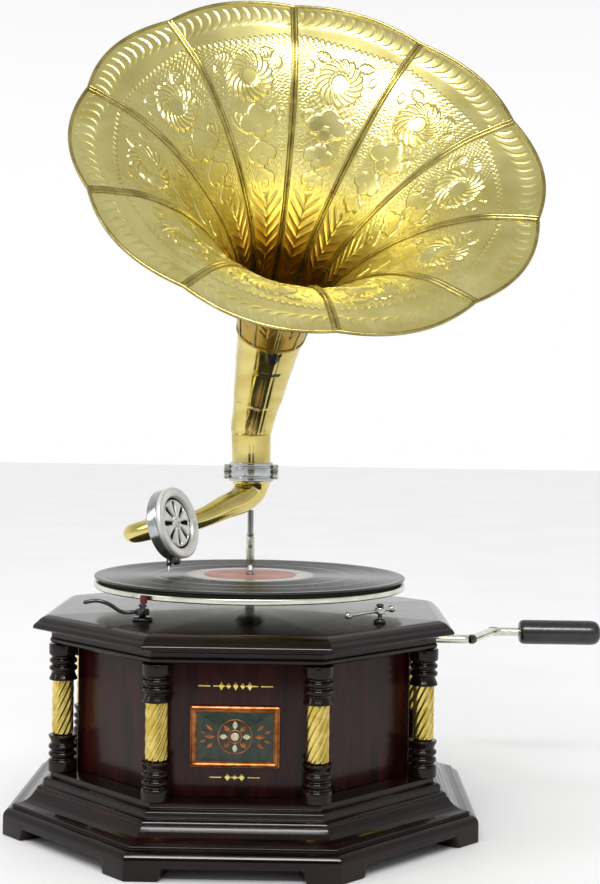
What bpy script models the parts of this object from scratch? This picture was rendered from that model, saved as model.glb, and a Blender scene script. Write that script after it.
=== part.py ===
"""A wind-up table phonograph: an octagonal case with a spring motor, a turntable, a tone arm and a petal horn.

Sizes are millimetres, scaled to metres as each mesh is made. While it is modelled, the case stands centred
on the origin with its front facing -Y; the last step moves the origin to the bottom centre of the whole.
"""

import math

import bmesh
import bpy
from mathutils import Matrix, Vector

MM = 0.001
GAP = 0.3

# Case
SIDES = 8
PLINTH_APOTHEM = 183.5
SHELL_APOTHEM = 130.0
SHELL_WALL = 8.0
SHELF_Z = 46.0
COLUMN_TOP_Z = 146.0
BOARD_UNDER_Z = 157.8
BOARD_TOP_Z = 168.5
BOARD_FLAT_APOTHEM = 150.5
BOARD_EDGE_APOTHEM = 163.7
FRIEZE_APOTHEM = 151.0
FOOT_LENGTH = 26.0
APRON_Z = 9.0
COLUMN_APOTHEM = 141.0
SLEEVE_LOW_Z = 74.5
SLEEVE_HIGH_Z = 119.2
SLEEVE_RADII = (6.5, 8.4)
PLINTH_EDGE_WIDTH = 18.0
PLINTH_BORE_APOTHEM = 121.0
PLAQUE_CENTRE = (-2.0, 90.6)

# Turntable: a 10 inch disc
RECORD_RADIUS = 127.0
RECORD_TOP_Z = 195.5
RECORD_THICK = 2.2
FELT_THICK = 2.0
PLATTER_TOP_Z = RECORD_TOP_Z - RECORD_THICK - FELT_THICK - 2 * GAP
PLATTER_RIM = 4.6
PLATTER_HUB_DEEP = 12.5
PLATTER_HUB_RADIUS = 12.0
SPINDLE = Vector((1.7, 0.0, 0.0))

# Brake and speed lever
BRAKE_PIVOT = Vector((-76.0, -88.0, 0.0))
BRAKE_PAD = Vector((-73.0, -106.6, 0.0))
PAD_FOOT_Z = 183.6
REGULATOR_PIVOT = Vector((105.0, -82.0, 0.0))
LEVER_Z = 178.0
LEVER_ENDS = (Vector((80.0, -113.0, LEVER_Z)), Vector((114.5, -70.2, LEVER_Z)))
BALL_RADIUS = 2.8

# Horn: the bell's rim is a plane circle, leaning forward and a little to the right
HORN_CENTRE = Vector((49.1, -71.4, 528.0))
HORN_TILT = math.radians(52.7)
HORN_TURN = math.radians(12.5)
PETALS = 10
SEAM_ANGLE = math.radians(124.4)
PETAL_SWELL = 0.029
HORN_WALL = 0.9
BELL = ((180, 0), (170, 2.6), (158, 6.7), (142, 12.6), (124, 23.5), (104, 39.5),
        (84, 61.3), (64, 89.3), (48, 118.0), (38, 145.0))
FLARE_ROWS = 7
RIM_LIP = 1.6
NECK = ((-4.7, 138.0, 275.0, 17.9), (-4.8, 137.9, 295, 18.0), (-4.8, 136.0, 315, 18.8),
        (-2.2, 131.2, 329, 20.2), (0.8, 124.5, 343, 22.0), (6.8, 108.5, 372, 26.0), (13.0, 88.5, 399, 29.6))
THROAT = (17.6, 69.0, 419.5, 33.0)
COLLAR_Z = (266.0, 284.0)

# Tone arm
PIVOT = Vector((-4.6, 138.0, 0.0))
ARM = ((-4.6, 138.0, 274.6, 17.9), (-4.6, 138.0, 265.5, 17.6), (-5.2, 137.4, 259, 15.0),
       (-12.5, 129.5, 250.5, 13.0), (-28, 112, 243, 10.9), (-49, 90, 233.5, 8.8),
       (-70, 69.5, 229.8, 8.1), (-89, 51, 228.3, 7.8))
ARM_WALL = 1.2
BEND_CORNER = Vector((-115.0, 31.0, 220.5))
BEND_RADII = (7.8, 8.8)
BEND_BEHIND_BOX = 7.0
ROD_RADIUS = 2.75
ROD_TOP_Z = 239.8
SOCKET_TOP_Z = 215.0

# Sound box: its face looks right, forward and a little up
BOX_CENTRE = Vector((-70.0, 15.6, 233.3))
BOX_AZIMUTH = math.radians(-25.3)
BOX_ELEVATION = math.radians(14.3)
BOX_RAKE = math.radians(25.0)
BOX_RADIUS = 30.0
BOX_DEPTH = 14.4
NEEDLE_REACH = 43.0 - GAP

# Crank
CRANK_Y = 28.0
CRANK_Z = 140.5
CRANK_RADIUS = 3.6
CRANK_PATH = ((67, CRANK_Y, CRANK_Z), (188, CRANK_Y, CRANK_Z), (217, 128, 132.8), (311, 128, 132.8))
GRIP_X = (242.0, 315.5)
GRIP_RADIUS = 11.0

# Motor
BARREL_AXIS = Vector((52.0, CRANK_Y, 0.0))
FRAME_AXIS = Vector((25.0, 10.0, 0.0))
BEDPLATE_Z = (154.4, 157.4)
LOWER_PLATE_Z = (52.0, 55.0)
ARBOR_LOW_Z = LOWER_PLATE_Z[1] + GAP
ARBOR_HIGH_Z = BEDPLATE_Z[0] - GAP
BARREL_TEETH, IDLER_PINION_TEETH, FIRST_MODULE = 64, 13, 1.25
IDLER_TEETH, SPINDLE_PINION_TEETH, GOVERNOR_WHEEL_TEETH, GOVERNOR_TEETH = 48, 12, 48, 8
CROWN_TEETH, CRANK_TEETH, CROWN_RADIUS, CRANK_PINION_RADIUS = 36, 12, 30.0, 10.0
MESH_SLACK = 0.4

MATERIALS = {
    "dark_wood": ((0.035, 0.012, 0.009), 0.22, 0.0),
    "brass": ((0.83, 0.66, 0.27), 0.22, 1.0),
    "chrome": ((0.72, 0.73, 0.74), 0.18, 1.0),
    "steel": ((0.55, 0.55, 0.56), 0.32, 1.0),
    "black_enamel": ((0.02, 0.02, 0.022), 0.3, 0.0),
    "shellac": ((0.012, 0.012, 0.013), 0.18, 0.0),
    "red_felt": ((0.32, 0.05, 0.04), 0.95, 0.0),
    "green_felt": ((0.05, 0.11, 0.08), 0.95, 0.0),
    "mica": ((0.72, 0.68, 0.58), 0.25, 0.0),
    "rubber": ((0.03, 0.03, 0.03), 0.8, 0.0),
    "ornament": ((0.42, 0.22, 0.08), 0.4, 0.0),
    "cast_iron": ((0.12, 0.12, 0.12), 0.55, 0.6),
}


def material(name):
    """The named Principled material, made once."""
    found = bpy.data.materials.get(name)
    if found:
        return found
    colour, roughness, metallic = MATERIALS[name]
    made = bpy.data.materials.new(name)
    made.use_nodes = True
    shader = made.node_tree.nodes["Principled BSDF"]
    shader.inputs["Base Color"].default_value = (*colour, 1.0)
    shader.inputs["Roughness"].default_value = roughness
    shader.inputs["Metallic"].default_value = metallic
    return made


def clear_scene():
    for old in list(bpy.data.objects):
        bpy.data.objects.remove(old, do_unlink=True)


def finish(name, mesh_points, faces, look, place, smooth):
    """An object from points in millimetres, in the local frame that the matrix `place` gives."""
    bm = bmesh.new()
    verts = [bm.verts.new(Vector(point) * MM) for point in mesh_points]
    for face in faces:
        bm.faces.new([verts[i] for i in face])
    bmesh.ops.recalc_face_normals(bm, faces=bm.faces)
    mesh = bpy.data.meshes.new(name)
    bm.to_mesh(mesh)
    bm.free()
    mesh.materials.append(material(look))
    if smooth:
        mesh.shade_smooth()
        mesh.set_sharp_from_angle(angle=math.radians(35))
    made = bpy.data.objects.new(name, mesh)
    bpy.context.scene.collection.objects.link(made)
    made.matrix_world = Matrix.Translation(place.to_translation() * MM) @ place.to_3x3().to_4x4()
    return made


def loft(name, rings, look, place=Matrix(), hollow=False, smooth=True):
    """A skin over rings of points. `hollow` joins the last ring to the first; otherwise the ends are capped."""
    count = len(rings[0])
    points = [point for ring in rings for point in ring]
    faces = []
    steps = len(rings) if hollow else len(rings) - 1
    for i in range(steps):
        here, there = i * count, (i + 1) % len(rings) * count
        for j in range(count):
            k = (j + 1) % count
            faces.append((here + j, here + k, there + k, there + j))
    if not hollow:
        faces.append(tuple(range(count)))
        faces.append(tuple(range(len(points) - count, len(points))))
    return finish(name, points, faces, look, place, smooth)


def circle(radius, z, count):
    turn = 2 * math.pi / count
    return [(radius * math.cos(i * turn), radius * math.sin(i * turn), z) for i in range(count)]


def octagon(apothem, z):
    radius = apothem / math.cos(math.pi / SIDES)
    turn = 2 * math.pi / SIDES
    return [(radius * math.cos((i + 0.5) * turn), radius * math.sin((i + 0.5) * turn), z) for i in range(SIDES)]


def turned(name, profile, look, place=Matrix(), count=16, hollow=False):
    """A turned piece from (radius, height) points, going once round the section when it is hollow."""
    return loft(name, [circle(r, z, count) for r, z in profile], look, place, hollow)


def at(x, y, z=0.0):
    return Matrix.Translation((x, y, z))


def frame_of(origin, along, across):
    """A frame at `origin` with its Z along one direction and its X as near as it can be to another."""
    z = Vector(along).normalized()
    x = (Vector(across) - Vector(across).dot(z) * z).normalized()
    y = z.cross(x)
    turn = Matrix((x, y, z)).transposed()
    return Matrix.Translation(origin) @ turn.to_4x4()


def modify(target, operation, *others):
    """Boolean steps on `target`; each other object stays as a hidden helper."""
    for other in others:
        step = target.modifiers.new(operation.title(), "BOOLEAN")
        step.operation = operation
        step.solver = "EXACT"
        step.object = other
        other.hide_render = True
        other.display_type = "WIRE"
    return target


def box(name, low, high, look, place=Matrix()):
    (x0, y0, z0), (x1, y1, z1) = low, high
    rings = [[(x0, y0, z), (x1, y0, z), (x1, y1, z), (x0, y1, z)] for z in (z0, z1)]
    return loft(name, rings, look, place, smooth=False)


def spline(points, steps):
    """A smooth curve through 4-number points (x, y, z, radius), `steps` to each span."""
    rows = [Vector(p) for p in points]
    rows = [2 * rows[0] - rows[1], *rows, 2 * rows[-1] - rows[-2]]
    found = []
    for a, b, c, d in zip(rows, rows[1:], rows[2:], rows[3:]):
        for i in range(steps):
            t = i / steps
            found.append(0.5 * (2 * b + (c - a) * t + (2 * a - 5 * b + 4 * c - d) * t * t
                                + (3 * b - a - 3 * c + d) * t ** 3))
    return [*found, rows[-2]]


def section(centre, tangent, radius, across, count):
    """A ring of points round `centre`, square to the tangent, that starts near the direction `across`."""
    place = frame_of(centre, tangent, across)
    return [place @ Vector(p) for p in circle(radius, 0.0, count)]


def path_rings(path, across, count, inset=0.0, ends=(None, None)):
    """Rings along a path of (x, y, z, radius); `ends` can give the directions that the end rings are square to."""
    centres = [row.to_3d() for row in path]
    tangents = [after - before for before, after in
                zip([centres[0], *centres[:-1]], [*centres[1:], centres[-1]])]
    tangents[0] = ends[0] or tangents[0]
    tangents[-1] = ends[1] or tangents[-1]
    return [section(centre, tangent, row[3] - inset, across, count)
            for centre, tangent, row in zip(centres, tangents, path)]


def tube(name, path, wall, look, pivot, across, count=16, ends=(None, None)):
    outer = path_rings(path, across, count, ends=ends)
    inner = path_rings(path, across, count, wall, ends)
    return loft(name, shifted(outer + inner[::-1], pivot), look, Matrix.Translation(pivot), hollow=True)


def shifted(rings, pivot):
    return [[Vector(p) - pivot for p in ring] for ring in rings]


def rod(name, corners, radius, look, pivot, bend=9.0, count=10):
    """A round rod along straight runs with rounded corners."""
    corners = [Vector(c) for c in corners]
    path = [corners[0]]
    for before, corner, after in zip(corners, corners[1:], corners[2:]):
        start = corner + (before - corner).normalized() * bend
        end = corner + (after - corner).normalized() * bend
        for i in range(5):
            t = i / 4
            path.append((1 - t) ** 2 * start + 2 * t * (1 - t) * corner + t * t * end)
    path = [Vector((*p, radius)) for p in (*path, corners[-1])]
    across = (corners[1] - corners[0]).cross(corners[2] - corners[1]) if len(corners) > 2 else Vector((0, 0, 1))
    return loft(name, shifted(path_rings(path, across, count), pivot), look, Matrix.Translation(pivot))


def gear_outline(teeth, module, tooth_angle):
    """A flat gear outline with narrow straight teeth; one tooth is centred on `tooth_angle`."""
    pitch = 2 * math.pi / teeth
    root, tip = (teeth / 2 - 1.2) * module, (teeth / 2 + 0.8) * module
    corners = ((-0.21, root), (-0.07, tip), (0.07, tip), (0.21, root))
    return [(r * math.cos(tooth_angle + (i + a) * pitch), r * math.sin(tooth_angle + (i + a) * pitch))
            for i in range(teeth) for a, r in corners]


def spur_gear(name, teeth, module, low, high, tooth_angle, look, place):
    outline = gear_outline(teeth, module, tooth_angle)
    rings = [[(x, y, z) for x, y in outline] for z in (low, high)]
    return loft(name, rings, look, place, smooth=False)


def angle_to(a, b):
    return math.atan2(b.y - a.y, b.x - a.x)


def third_centre(a, from_a, b, from_b):
    """The point at the two given distances from a and b, on the left of the line from a to b."""
    span = (b - a).length
    along = (from_a ** 2 - from_b ** 2 + span ** 2) / (2 * span)
    side = math.sqrt(from_a ** 2 - along ** 2)
    way = (b - a) / span
    return a + way * along + Vector((-way.y, way.x, 0)) * side


# ---------------------------------------------------------------- case


def plinth():
    """The moulded base ring, swept round the octagon, with a bracket foot pulled down at every corner."""
    outer = [(PLINTH_APOTHEM, APRON_Z), (PLINTH_APOTHEM, 14.6), (180.5, 17.0), (180.5, 18.6), (177.5, 20.5),
             (171.0, 22.0), (165.5, 25.5), (161.0, 30.0), (157.5, 32.5), (155.5, 36.0), (152.5, 39.0),
             (151.5, 42.0), (149.5, SHELF_Z)]
    inside = PLINTH_APOTHEM - PLINTH_EDGE_WIDTH
    inner = [(PLINTH_BORE_APOTHEM, SHELF_Z), (PLINTH_BORE_APOTHEM, 33.0), (inside, 16.0), (inside, APRON_Z)]
    half_turn = math.pi / SIDES
    stand_off = PLINTH_APOTHEM * math.tan(half_turn) - FOOT_LENGTH
    rings = []
    for apothem, z in outer + inner:
        ring = []
        for side in range(SIDES):
            face = side * 2 * half_turn
            out = Vector((math.cos(face), math.sin(face), 0))
            left = Vector((-out.y, out.x, 0))
            corner = apothem * math.tan(half_turn)
            for along in (-stand_off, stand_off, corner):
                ring.append(out * apothem + left * along + Vector((0, 0, z)))
        rings.append(ring)
    made = loft("plinth", rings, "dark_wood", hollow=True, smooth=False)
    bm = bmesh.new()
    bm.from_mesh(made.data)
    feet = [face for face in bm.faces if face.normal.z < -0.99 and is_foot(face, stand_off)]
    pulled = bmesh.ops.extrude_face_region(bm, geom=feet)
    moved = [item for item in pulled["geom"] if isinstance(item, bmesh.types.BMVert)]
    bmesh.ops.translate(bm, verts=moved, vec=Vector((0, 0, -APRON_Z * MM)))
    bmesh.ops.delete(bm, geom=feet, context="FACES_ONLY")
    bmesh.ops.recalc_face_normals(bm, faces=bm.faces)
    bm.to_mesh(made.data)
    bm.free()
    return made


def is_foot(face, stand_off):
    """True of an underside face that runs up to a corner of the octagon."""
    centre = face.calc_center_median()
    turn = math.atan2(centre.y, centre.x) / (math.pi / 4)
    side = round(turn) * math.pi / 4
    along = -centre.x * math.sin(side) + centre.y * math.cos(side)
    return abs(along) > stand_off * MM


def case():
    plinth()
    loft("bottom_board", [octagon(PLINTH_BORE_APOTHEM - 0.5, z) for z in (36.0, 42.0)], "dark_wood", smooth=False)
    inside = SHELL_APOTHEM - SHELL_WALL
    low, high = SHELF_Z + GAP, COLUMN_TOP_Z
    shell = loft("cabinet_shell", [octagon(SHELL_APOTHEM, low), octagon(SHELL_APOTHEM, high),
                                   octagon(inside, high), octagon(inside, low)],
                 "dark_wood", hollow=True, smooth=False)
    crank_axis = frame_of((SHELL_APOTHEM - 20, CRANK_Y, CRANK_Z), (1, 0, 0), (0, 1, 0))
    modify(shell, "DIFFERENCE", turned("crank_hole", [(5.3, 30.0), (5.3, 0.0)], "steel", crank_axis))
    turned("crank_bushing", [(4.0, 0.0), (5.0, 0.0), (5.0, 22.0), (4.0, 22.0)], "steel", crank_axis, hollow=True)
    low, high = COLUMN_TOP_Z + GAP, BOARD_UNDER_Z - GAP
    loft("frieze", [octagon(FRIEZE_APOTHEM, low), octagon(FRIEZE_APOTHEM, high),
                    octagon(inside, high), octagon(inside, low)], "dark_wood", hollow=True, smooth=False)
    edge = [(BOARD_FLAT_APOTHEM, BOARD_TOP_Z), (155.0, 167.3), (159.0, 164.8), (162.2, 161.6),
            (BOARD_EDGE_APOTHEM, 158.8), (162.5, BOARD_UNDER_Z)]
    board = loft("top_board", [octagon(a, z) for a, z in edge], "dark_wood", smooth=False)
    modify(board, "DIFFERENCE",
           turned("spindle_hole", [(7.0, BOARD_TOP_Z + 5), (7.0, BOARD_UNDER_Z - 5)], "steel", at(SPINDLE.x, 0)))


def column_profile():
    """One turned end of a column, from the shelf up to the sleeve, as (radius, height above the shelf)."""
    return [(11.2, GAP), (11.2, 7.5), (9.2, 9.5), (10.5, 12.5), (10.5, 18.5), (9.0, 21.0), (10.9, 24.5),
            (10.4, 28.0)]


def columns():
    low_end = column_profile()
    height = COLUMN_TOP_Z - SHELF_Z
    profile = [*low_end, (6.0, 28.2), (6.0, height - 26.4)]
    profile += [(r, height - z + GAP / 2) for r, z in low_end[-2::-1]]
    turn = math.pi / SIDES
    for i in range(SIDES):
        name = i + 1
        angle = (2 * i + 1) * turn
        reach = COLUMN_APOTHEM / math.cos(turn)
        place = at(reach * math.cos(angle), reach * math.sin(angle), SHELF_Z)
        turned(f"column_{name}", profile, "dark_wood", place, count=8)
        low, high = SLEEVE_LOW_Z - SHELF_Z, SLEEVE_HIGH_Z - SHELF_Z
        bore, radius = SLEEVE_RADII
        turned(f"column_sleeve_{name}", [(bore, low), (radius, low), (radius, high), (bore, high)], "brass", place,
               count=10, hollow=True)


def front_plaque():
    """A framed panel: a raised border round a sunk field."""
    x, z = PLAQUE_CENTRE
    place = frame_of((x, -SHELL_APOTHEM - GAP, z), (0, -1, 0), (1, 0, 0))
    sizes = ((33, 22.8, 0.0), (33, 22.8, 2.2), (31.5, 21.3, 3.0), (28.5, 18.3, 2.6), (28.0, 17.8, 1.0))
    rings = [[(x, y, z), (-x, y, z), (-x, -y, z), (x, -y, z)] for x, y, z in sizes]
    loft("front_plaque", rings, "ornament", place, smooth=False)


# ---------------------------------------------------------------- turntable


def turntable():
    axis = at(SPINDLE.x, SPINDLE.y)
    top = PLATTER_TOP_Z
    hub, hub_low = PLATTER_HUB_RADIUS, top - PLATTER_HUB_DEEP
    turned("platter", [(RECORD_RADIUS, top - PLATTER_RIM), (RECORD_RADIUS, top), (3.4, top), (3.4, hub_low),
                       (hub, hub_low), (hub, top - 2), (RECORD_RADIUS - 3, top - 2),
                       (RECORD_RADIUS - 3, top - PLATTER_RIM)], "steel", axis, count=40, hollow=True)
    felt = top + GAP
    turned("felt_mat", [(3.5, felt), (RECORD_RADIUS - 3, felt), (RECORD_RADIUS - 3, felt + FELT_THICK),
                        (3.5, felt + FELT_THICK)], "green_felt", axis, count=32, hollow=True)
    under = RECORD_TOP_Z - RECORD_THICK
    turned("record", [(3.6, under), (RECORD_RADIUS, under), (RECORD_RADIUS, RECORD_TOP_Z), (3.6, RECORD_TOP_Z)],
           "shellac", axis, count=40, hollow=True)
    shaft = turned("spindle", [(3.9, ARBOR_LOW_Z), (3.9, hub_low - GAP), (3.1, hub_low - GAP), (3.1, 200.0),
                               (1.6, 203.0)], "steel", axis, count=12)
    pinion = spur_gear("spindle_pinion", SPINDLE_PINION_TEETH, 1.0, 111.0, 117.5,
                       angle_to(SPINDLE, IDLER_AXIS) + math.pi / SPINDLE_PINION_TEETH, "steel", axis)
    wheel = spur_gear("governor_wheel", GOVERNOR_WHEEL_TEETH, 1.0, 60.5, 63.5,
                      angle_to(SPINDLE, GOVERNOR_AXIS), "brass", axis)
    modify(shaft, "UNION", pinion, wheel)


def brake():
    pivot, pad = BRAKE_PIVOT, BRAKE_PAD
    low = BOARD_TOP_Z + GAP
    turned("brake_bracket", [(8.0, low), (8.0, low + 2.4), (1.9, low + 2.4), (1.9, 179.0), (3.2, 179.3),
                             (3.2, 181.0)], "black_enamel", at(*pivot), count=14)
    ring = turned("brake_lever", [(2.3, 172.6), (5.2, 172.6), (5.2, 177.6), (2.3, 177.6)], "black_enamel",
                  at(*pivot), count=14, hollow=True)
    finger = rod("brake_finger", ((-80, -88.6, 175), (-91, -91.5, 174.6), (-101, -94, 181.8), (-110, -95.5, 184.6),
                                  (-120, -96.5, 182.5)), 1.5, "black_enamel", pivot, bend=4.0, count=8)
    arm = rod("pad_arm", ((-75.4, -91.5, 175), (pad.x, pad.y, 175.5), (pad.x, pad.y, PAD_FOOT_Z)), 1.4,
              "black_enamel", pivot, bend=3.0, count=8)
    modify(ring, "UNION", finger, arm)
    turned("brake_pad", [(2.4, PAD_FOOT_Z + GAP), (2.7, 184.5), (2.7, 189.5), (2.4, 190.0)], "red_felt",
           at(pad.x, pad.y), count=12)


def regulator():
    pivot = REGULATOR_PIVOT
    low = BOARD_TOP_Z + GAP
    turned("regulator_post", [(5.0, low), (5.0, low + 2.5), (1.7, low + 3.0), (1.7, 181.0), (3.0, 181.3),
                              (3.0, 183.2)], "black_enamel", at(*pivot), count=12)
    hub = turned("regulator_lever", [(2.1, 175.6), (4.0, 175.6), (4.0, 180.4), (2.1, 180.4)], "chrome",
                 at(*pivot), count=12, hollow=True)
    parts = []
    for i, end in enumerate(LEVER_ENDS):
        start = pivot + Vector((0, 0, LEVER_Z)) + (end - pivot).to_2d().to_3d().normalized() * 3.2
        parts.append(rod(f"regulator_rod_{i}", (start, end), 1.2, "chrome", pivot, count=8))
        ball = [(BALL_RADIUS * math.sin(a * math.pi / 6), -BALL_RADIUS * math.cos(a * math.pi / 6))
                for a in range(1, 6)]
        parts.append(turned(f"regulator_ball_{i}", ball, "chrome", at(*end), count=10))
    modify(hub, "UNION", *parts)


# ---------------------------------------------------------------- horn and tone arm


def horn_frame():
    """The horn's axis (out of the mouth) and two directions across it."""
    tilt, turn = HORN_TILT, HORN_TURN
    axis = Vector((math.sin(tilt) * math.sin(turn), -math.sin(tilt) * math.cos(turn), math.cos(tilt)))
    level = Vector((0, 0, 1)).cross(axis).normalized()
    return axis, level, axis.cross(level)


def petal_ring(radius, depth, count):
    """A ring of the bell: a circle whose petals swell between the seams, most at the rim."""
    axis, level, upward = horn_frame()
    share = max(0.0, 1 - depth / 90) * PETAL_SWELL
    ring = []
    for i in range(count):
        angle = SEAM_ANGLE - 2 * math.pi * i / count
        reach = radius * (1 + share * abs(math.sin(PETALS / 2 * (angle - SEAM_ANGLE))))
        ring.append(HORN_CENTRE - axis * depth + level * reach * math.cos(angle) + upward * reach * math.sin(angle))
    return ring


def neck_ring(centre, tangent, radius, count):
    """A round ring of the neck whose points line up with the bell's seams."""
    _, level, _ = horn_frame()
    place = frame_of(centre, tangent, level)
    ring = []
    for i in range(count):
        angle = SEAM_ANGLE - 2 * math.pi * i / count
        ring.append(place @ Vector((radius * math.cos(angle), radius * math.sin(angle), 0)))
    return ring


def horn():
    """The bell, as a flare and a cone that meet inside it, and the neck below them."""
    axis, _, _ = horn_frame()
    pivot = PIVOT + Vector((0, 0, COLLAR_Z[1]))
    place = Matrix.Translation(pivot)
    count = 4 * PETALS
    path = [Vector(row) for row in NECK]
    centres = [row.to_3d() for row in path]
    slope = (centres[-1] - centres[-2]).normalized()
    joint = centres[-1] + slope * GAP
    radius, depth = BELL[FLARE_ROWS - 1]
    next_radius, next_depth = BELL[FLARE_ROWS]
    start = (radius + (next_radius - radius) * GAP / (next_depth - depth), depth + GAP)
    flare, cone = [], []
    for wall, lip_out, lip_forward in ((HORN_WALL, RIM_LIP, -0.4 * RIM_LIP), (0.0, 0.0, RIM_LIP)):
        rings = [petal_ring(r + wall, d, count) for r, d in BELL[1:FLARE_ROWS]]
        flare.append([petal_ring(BELL[0][0] + wall + lip_out, BELL[0][1] - lip_forward, count), *rings])
        rings = [petal_ring(r + wall, d, count) for r, d in (start, *BELL[FLARE_ROWS:])]
        rings.append(neck_ring(Vector(THROAT[:3]), (axis + slope).normalized(), THROAT[3] + wall, count))
        rings.append(neck_ring(joint, slope, path[-1][3] - HORN_WALL + wall, count))
        cone.append(rings)
    for name, (outer, inner) in (("horn_bell", flare), ("horn_cone", cone)):
        loft(name, shifted(outer + inner[::-1], pivot), "brass", place, hollow=True)
    outer, inner = [], []
    for i, row in enumerate(path):
        tangent = slope if i == len(path) - 1 else centres[i + 1] - centres[max(i - 1, 0)]
        outer.append(neck_ring(centres[i], tangent, row[3], 16))
        inner.append(neck_ring(centres[i], tangent, row[3] - HORN_WALL, 16))
    loft("horn_neck", shifted(outer + inner[::-1], pivot), "brass", place, hollow=True)


def collar():
    """The clamp ring round the joint of horn and arm, with an ear and a screw at each side."""
    low, high = COLLAR_Z
    axis = at(PIVOT.x, PIVOT.y)
    ring = turned("horn_collar", [(18.3, low), (20.0, low), (20.4, low + 2), (20.4, high - 2), (20.0, high),
                                  (18.3, high)], "chrome", axis, count=24, hollow=True)
    for side, name in ((-1, "left"), (1, "right")):
        ear = box(f"ear_{name}", (min(19.2 * side, 25.0 * side), -5.0, low + 2),
                  (max(19.2 * side, 25.0 * side), 5.0, high - 2), "chrome", axis)
        modify(ring, "UNION", ear)
        screw_axis = frame_of(PIVOT + Vector((22.2 * side, -5.0 - GAP, (low + high) / 2)), (0, -1, 0), (1, 0, 0))
        turned(f"collar_screw_{name}", [(2.6, 0.0), (2.6, 1.2), (1.8, 2.0)], "steel", screw_axis, count=10)


def box_frame():
    """The sound box's frame: Z out of its face, X along the stylus bar towards the needle."""
    face = Vector((math.cos(BOX_ELEVATION) * math.cos(BOX_AZIMUTH), math.cos(BOX_ELEVATION) * math.sin(BOX_AZIMUTH),
                   math.sin(BOX_ELEVATION)))
    down = (Vector((0, 0, -1)) + face.z * face).normalized()
    level = face.cross(down).normalized()
    towards = level if level.y < 0 else -level
    return frame_of(BOX_CENTRE, face, math.cos(BOX_RAKE) * down + math.sin(BOX_RAKE) * towards)


def arm_end_direction():
    return (BEND_CORNER - Vector(ARM[-1][:3])).normalized()


def tone_arm():
    path = spline(ARM, 2)
    sideways = arm_end_direction().cross(Vector((0, 0, 1)))
    tube("tone_arm", path, ARM_WALL, "brass", PIVOT, sideways, 14, (None, arm_end_direction()))
    axis = at(PIVOT.x, PIVOT.y)
    turned("support_rod", [(ROD_RADIUS, 182.0), (ROD_RADIUS, SOCKET_TOP_Z + 1), (3.4, SOCKET_TOP_Z + 1.2),
                           (3.4, SOCKET_TOP_Z + 3.0), (ROD_RADIUS, SOCKET_TOP_Z + 3.4), (ROD_RADIUS, ROD_TOP_Z)],
           "steel", axis, count=12)
    low = BOARD_TOP_Z + GAP
    turned("rod_socket", [(3.05, low), (12.0, low), (12.0, low + 2.6), (3.9, low + 4.5), (3.9, SOCKET_TOP_Z),
                          (3.05, SOCKET_TOP_Z)], "steel", axis, count=16, hollow=True)


def gooseneck():
    """The U-shaped end of the arm: a quadratic curve from the arm to the back of the sound box."""
    start, end = Vector(ARM[-1][:3]), box_frame() @ Vector((0, 0, -BEND_BEHIND_BOX))
    start = start + arm_end_direction() * GAP
    path = []
    for i in range(9):
        t = i / 8
        centre = (1 - t) ** 2 * start + 2 * t * (1 - t) * BEND_CORNER + t * t * end
        path.append(Vector((*centre, BEND_RADII[0] + (BEND_RADII[1] - BEND_RADII[0]) * t)))
    across = (BEND_CORNER - start).cross(end - BEND_CORNER)
    tube("gooseneck", path, ARM_WALL, "brass", start, across, 12, (arm_end_direction(), box_frame().col[2].to_3d()))


def sound_box():
    place = box_frame()
    r = BOX_RADIUS
    body = turned("soundbox_body", [(9.0, -2.6), (9.0, 0.0), (26.0, 0.0), (r - 0.4, 1.0), (r - 0.4, 10.0),
                                    (r - 3.0, 10.0), (r - 3.0, 2.2), (4.5, 2.2), (4.5, -2.6)],
                  "chrome", place, count=24, hollow=True)
    notch = box("stylus_notch", (r - 6, -2.6, 3.0), (r + 3, 2.6, 7.4), "chrome", place)
    modify(body, "DIFFERENCE", notch)
    turned("soundbox_gasket", [(6.0, -6.4), (10.4, -6.4), (10.4, -2.6 - GAP), (6.0, -2.6 - GAP)], "rubber",
           place, count=20, hollow=True)
    turned("diaphragm", [(r - 3.4, 7.9), (r - 3.4, 8.4)], "mica", place, count=24)
    low, high = 10.0 + GAP, BOX_DEPTH
    front = turned("soundbox_front", [(r, low), (r, high - 1.0), (r - 1.2, high), (r - 7.2, high),
                                      (r - 8.2, high - 2.2), (3.2, high - 2.2), (2.4, high - 0.8), (0.6, high - 0.6),
                                      (0.6, low)], "chrome", place, count=24)
    for i in range(8):
        turn = Matrix.Rotation((i + 0.5) * math.pi / 4, 4, "Z")
        slot = box(f"front_slot_{i}", (6.0, -1.4, low - 2), (18.5, 1.4, high + 2), "chrome", place @ turn)
        modify(front, "DIFFERENCE", slot)
    bar = box("stylus_bar", (2.0, -1.3, 4.2), (r + 2.5, 1.3, 5.8), "steel", place)
    chuck = box("needle_chuck", (r + 1.0, -2.3, 2.8), (r + 7.6, 2.3, 7.2), "steel", place)
    modify(bar, "UNION", chuck)
    needle = frame_of(place @ Vector((0, 0, 5.0)), place.col[0].to_3d(), place.col[2].to_3d())
    turned("needle", [(0.75, r + 7.6 + GAP), (0.75, NEEDLE_REACH - 3.0), (0.12, NEEDLE_REACH)], "steel",
           needle, count=8)
    screw = place @ at(r + 4.3, 0.0)
    turned("needle_screw", [(1.2, 7.2 + GAP), (1.2, 10.5), (3.2, 10.6), (3.2, 14.6), (2.6, 15.4)], "black_enamel",
           screw, count=12)


# ---------------------------------------------------------------- crank


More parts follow.
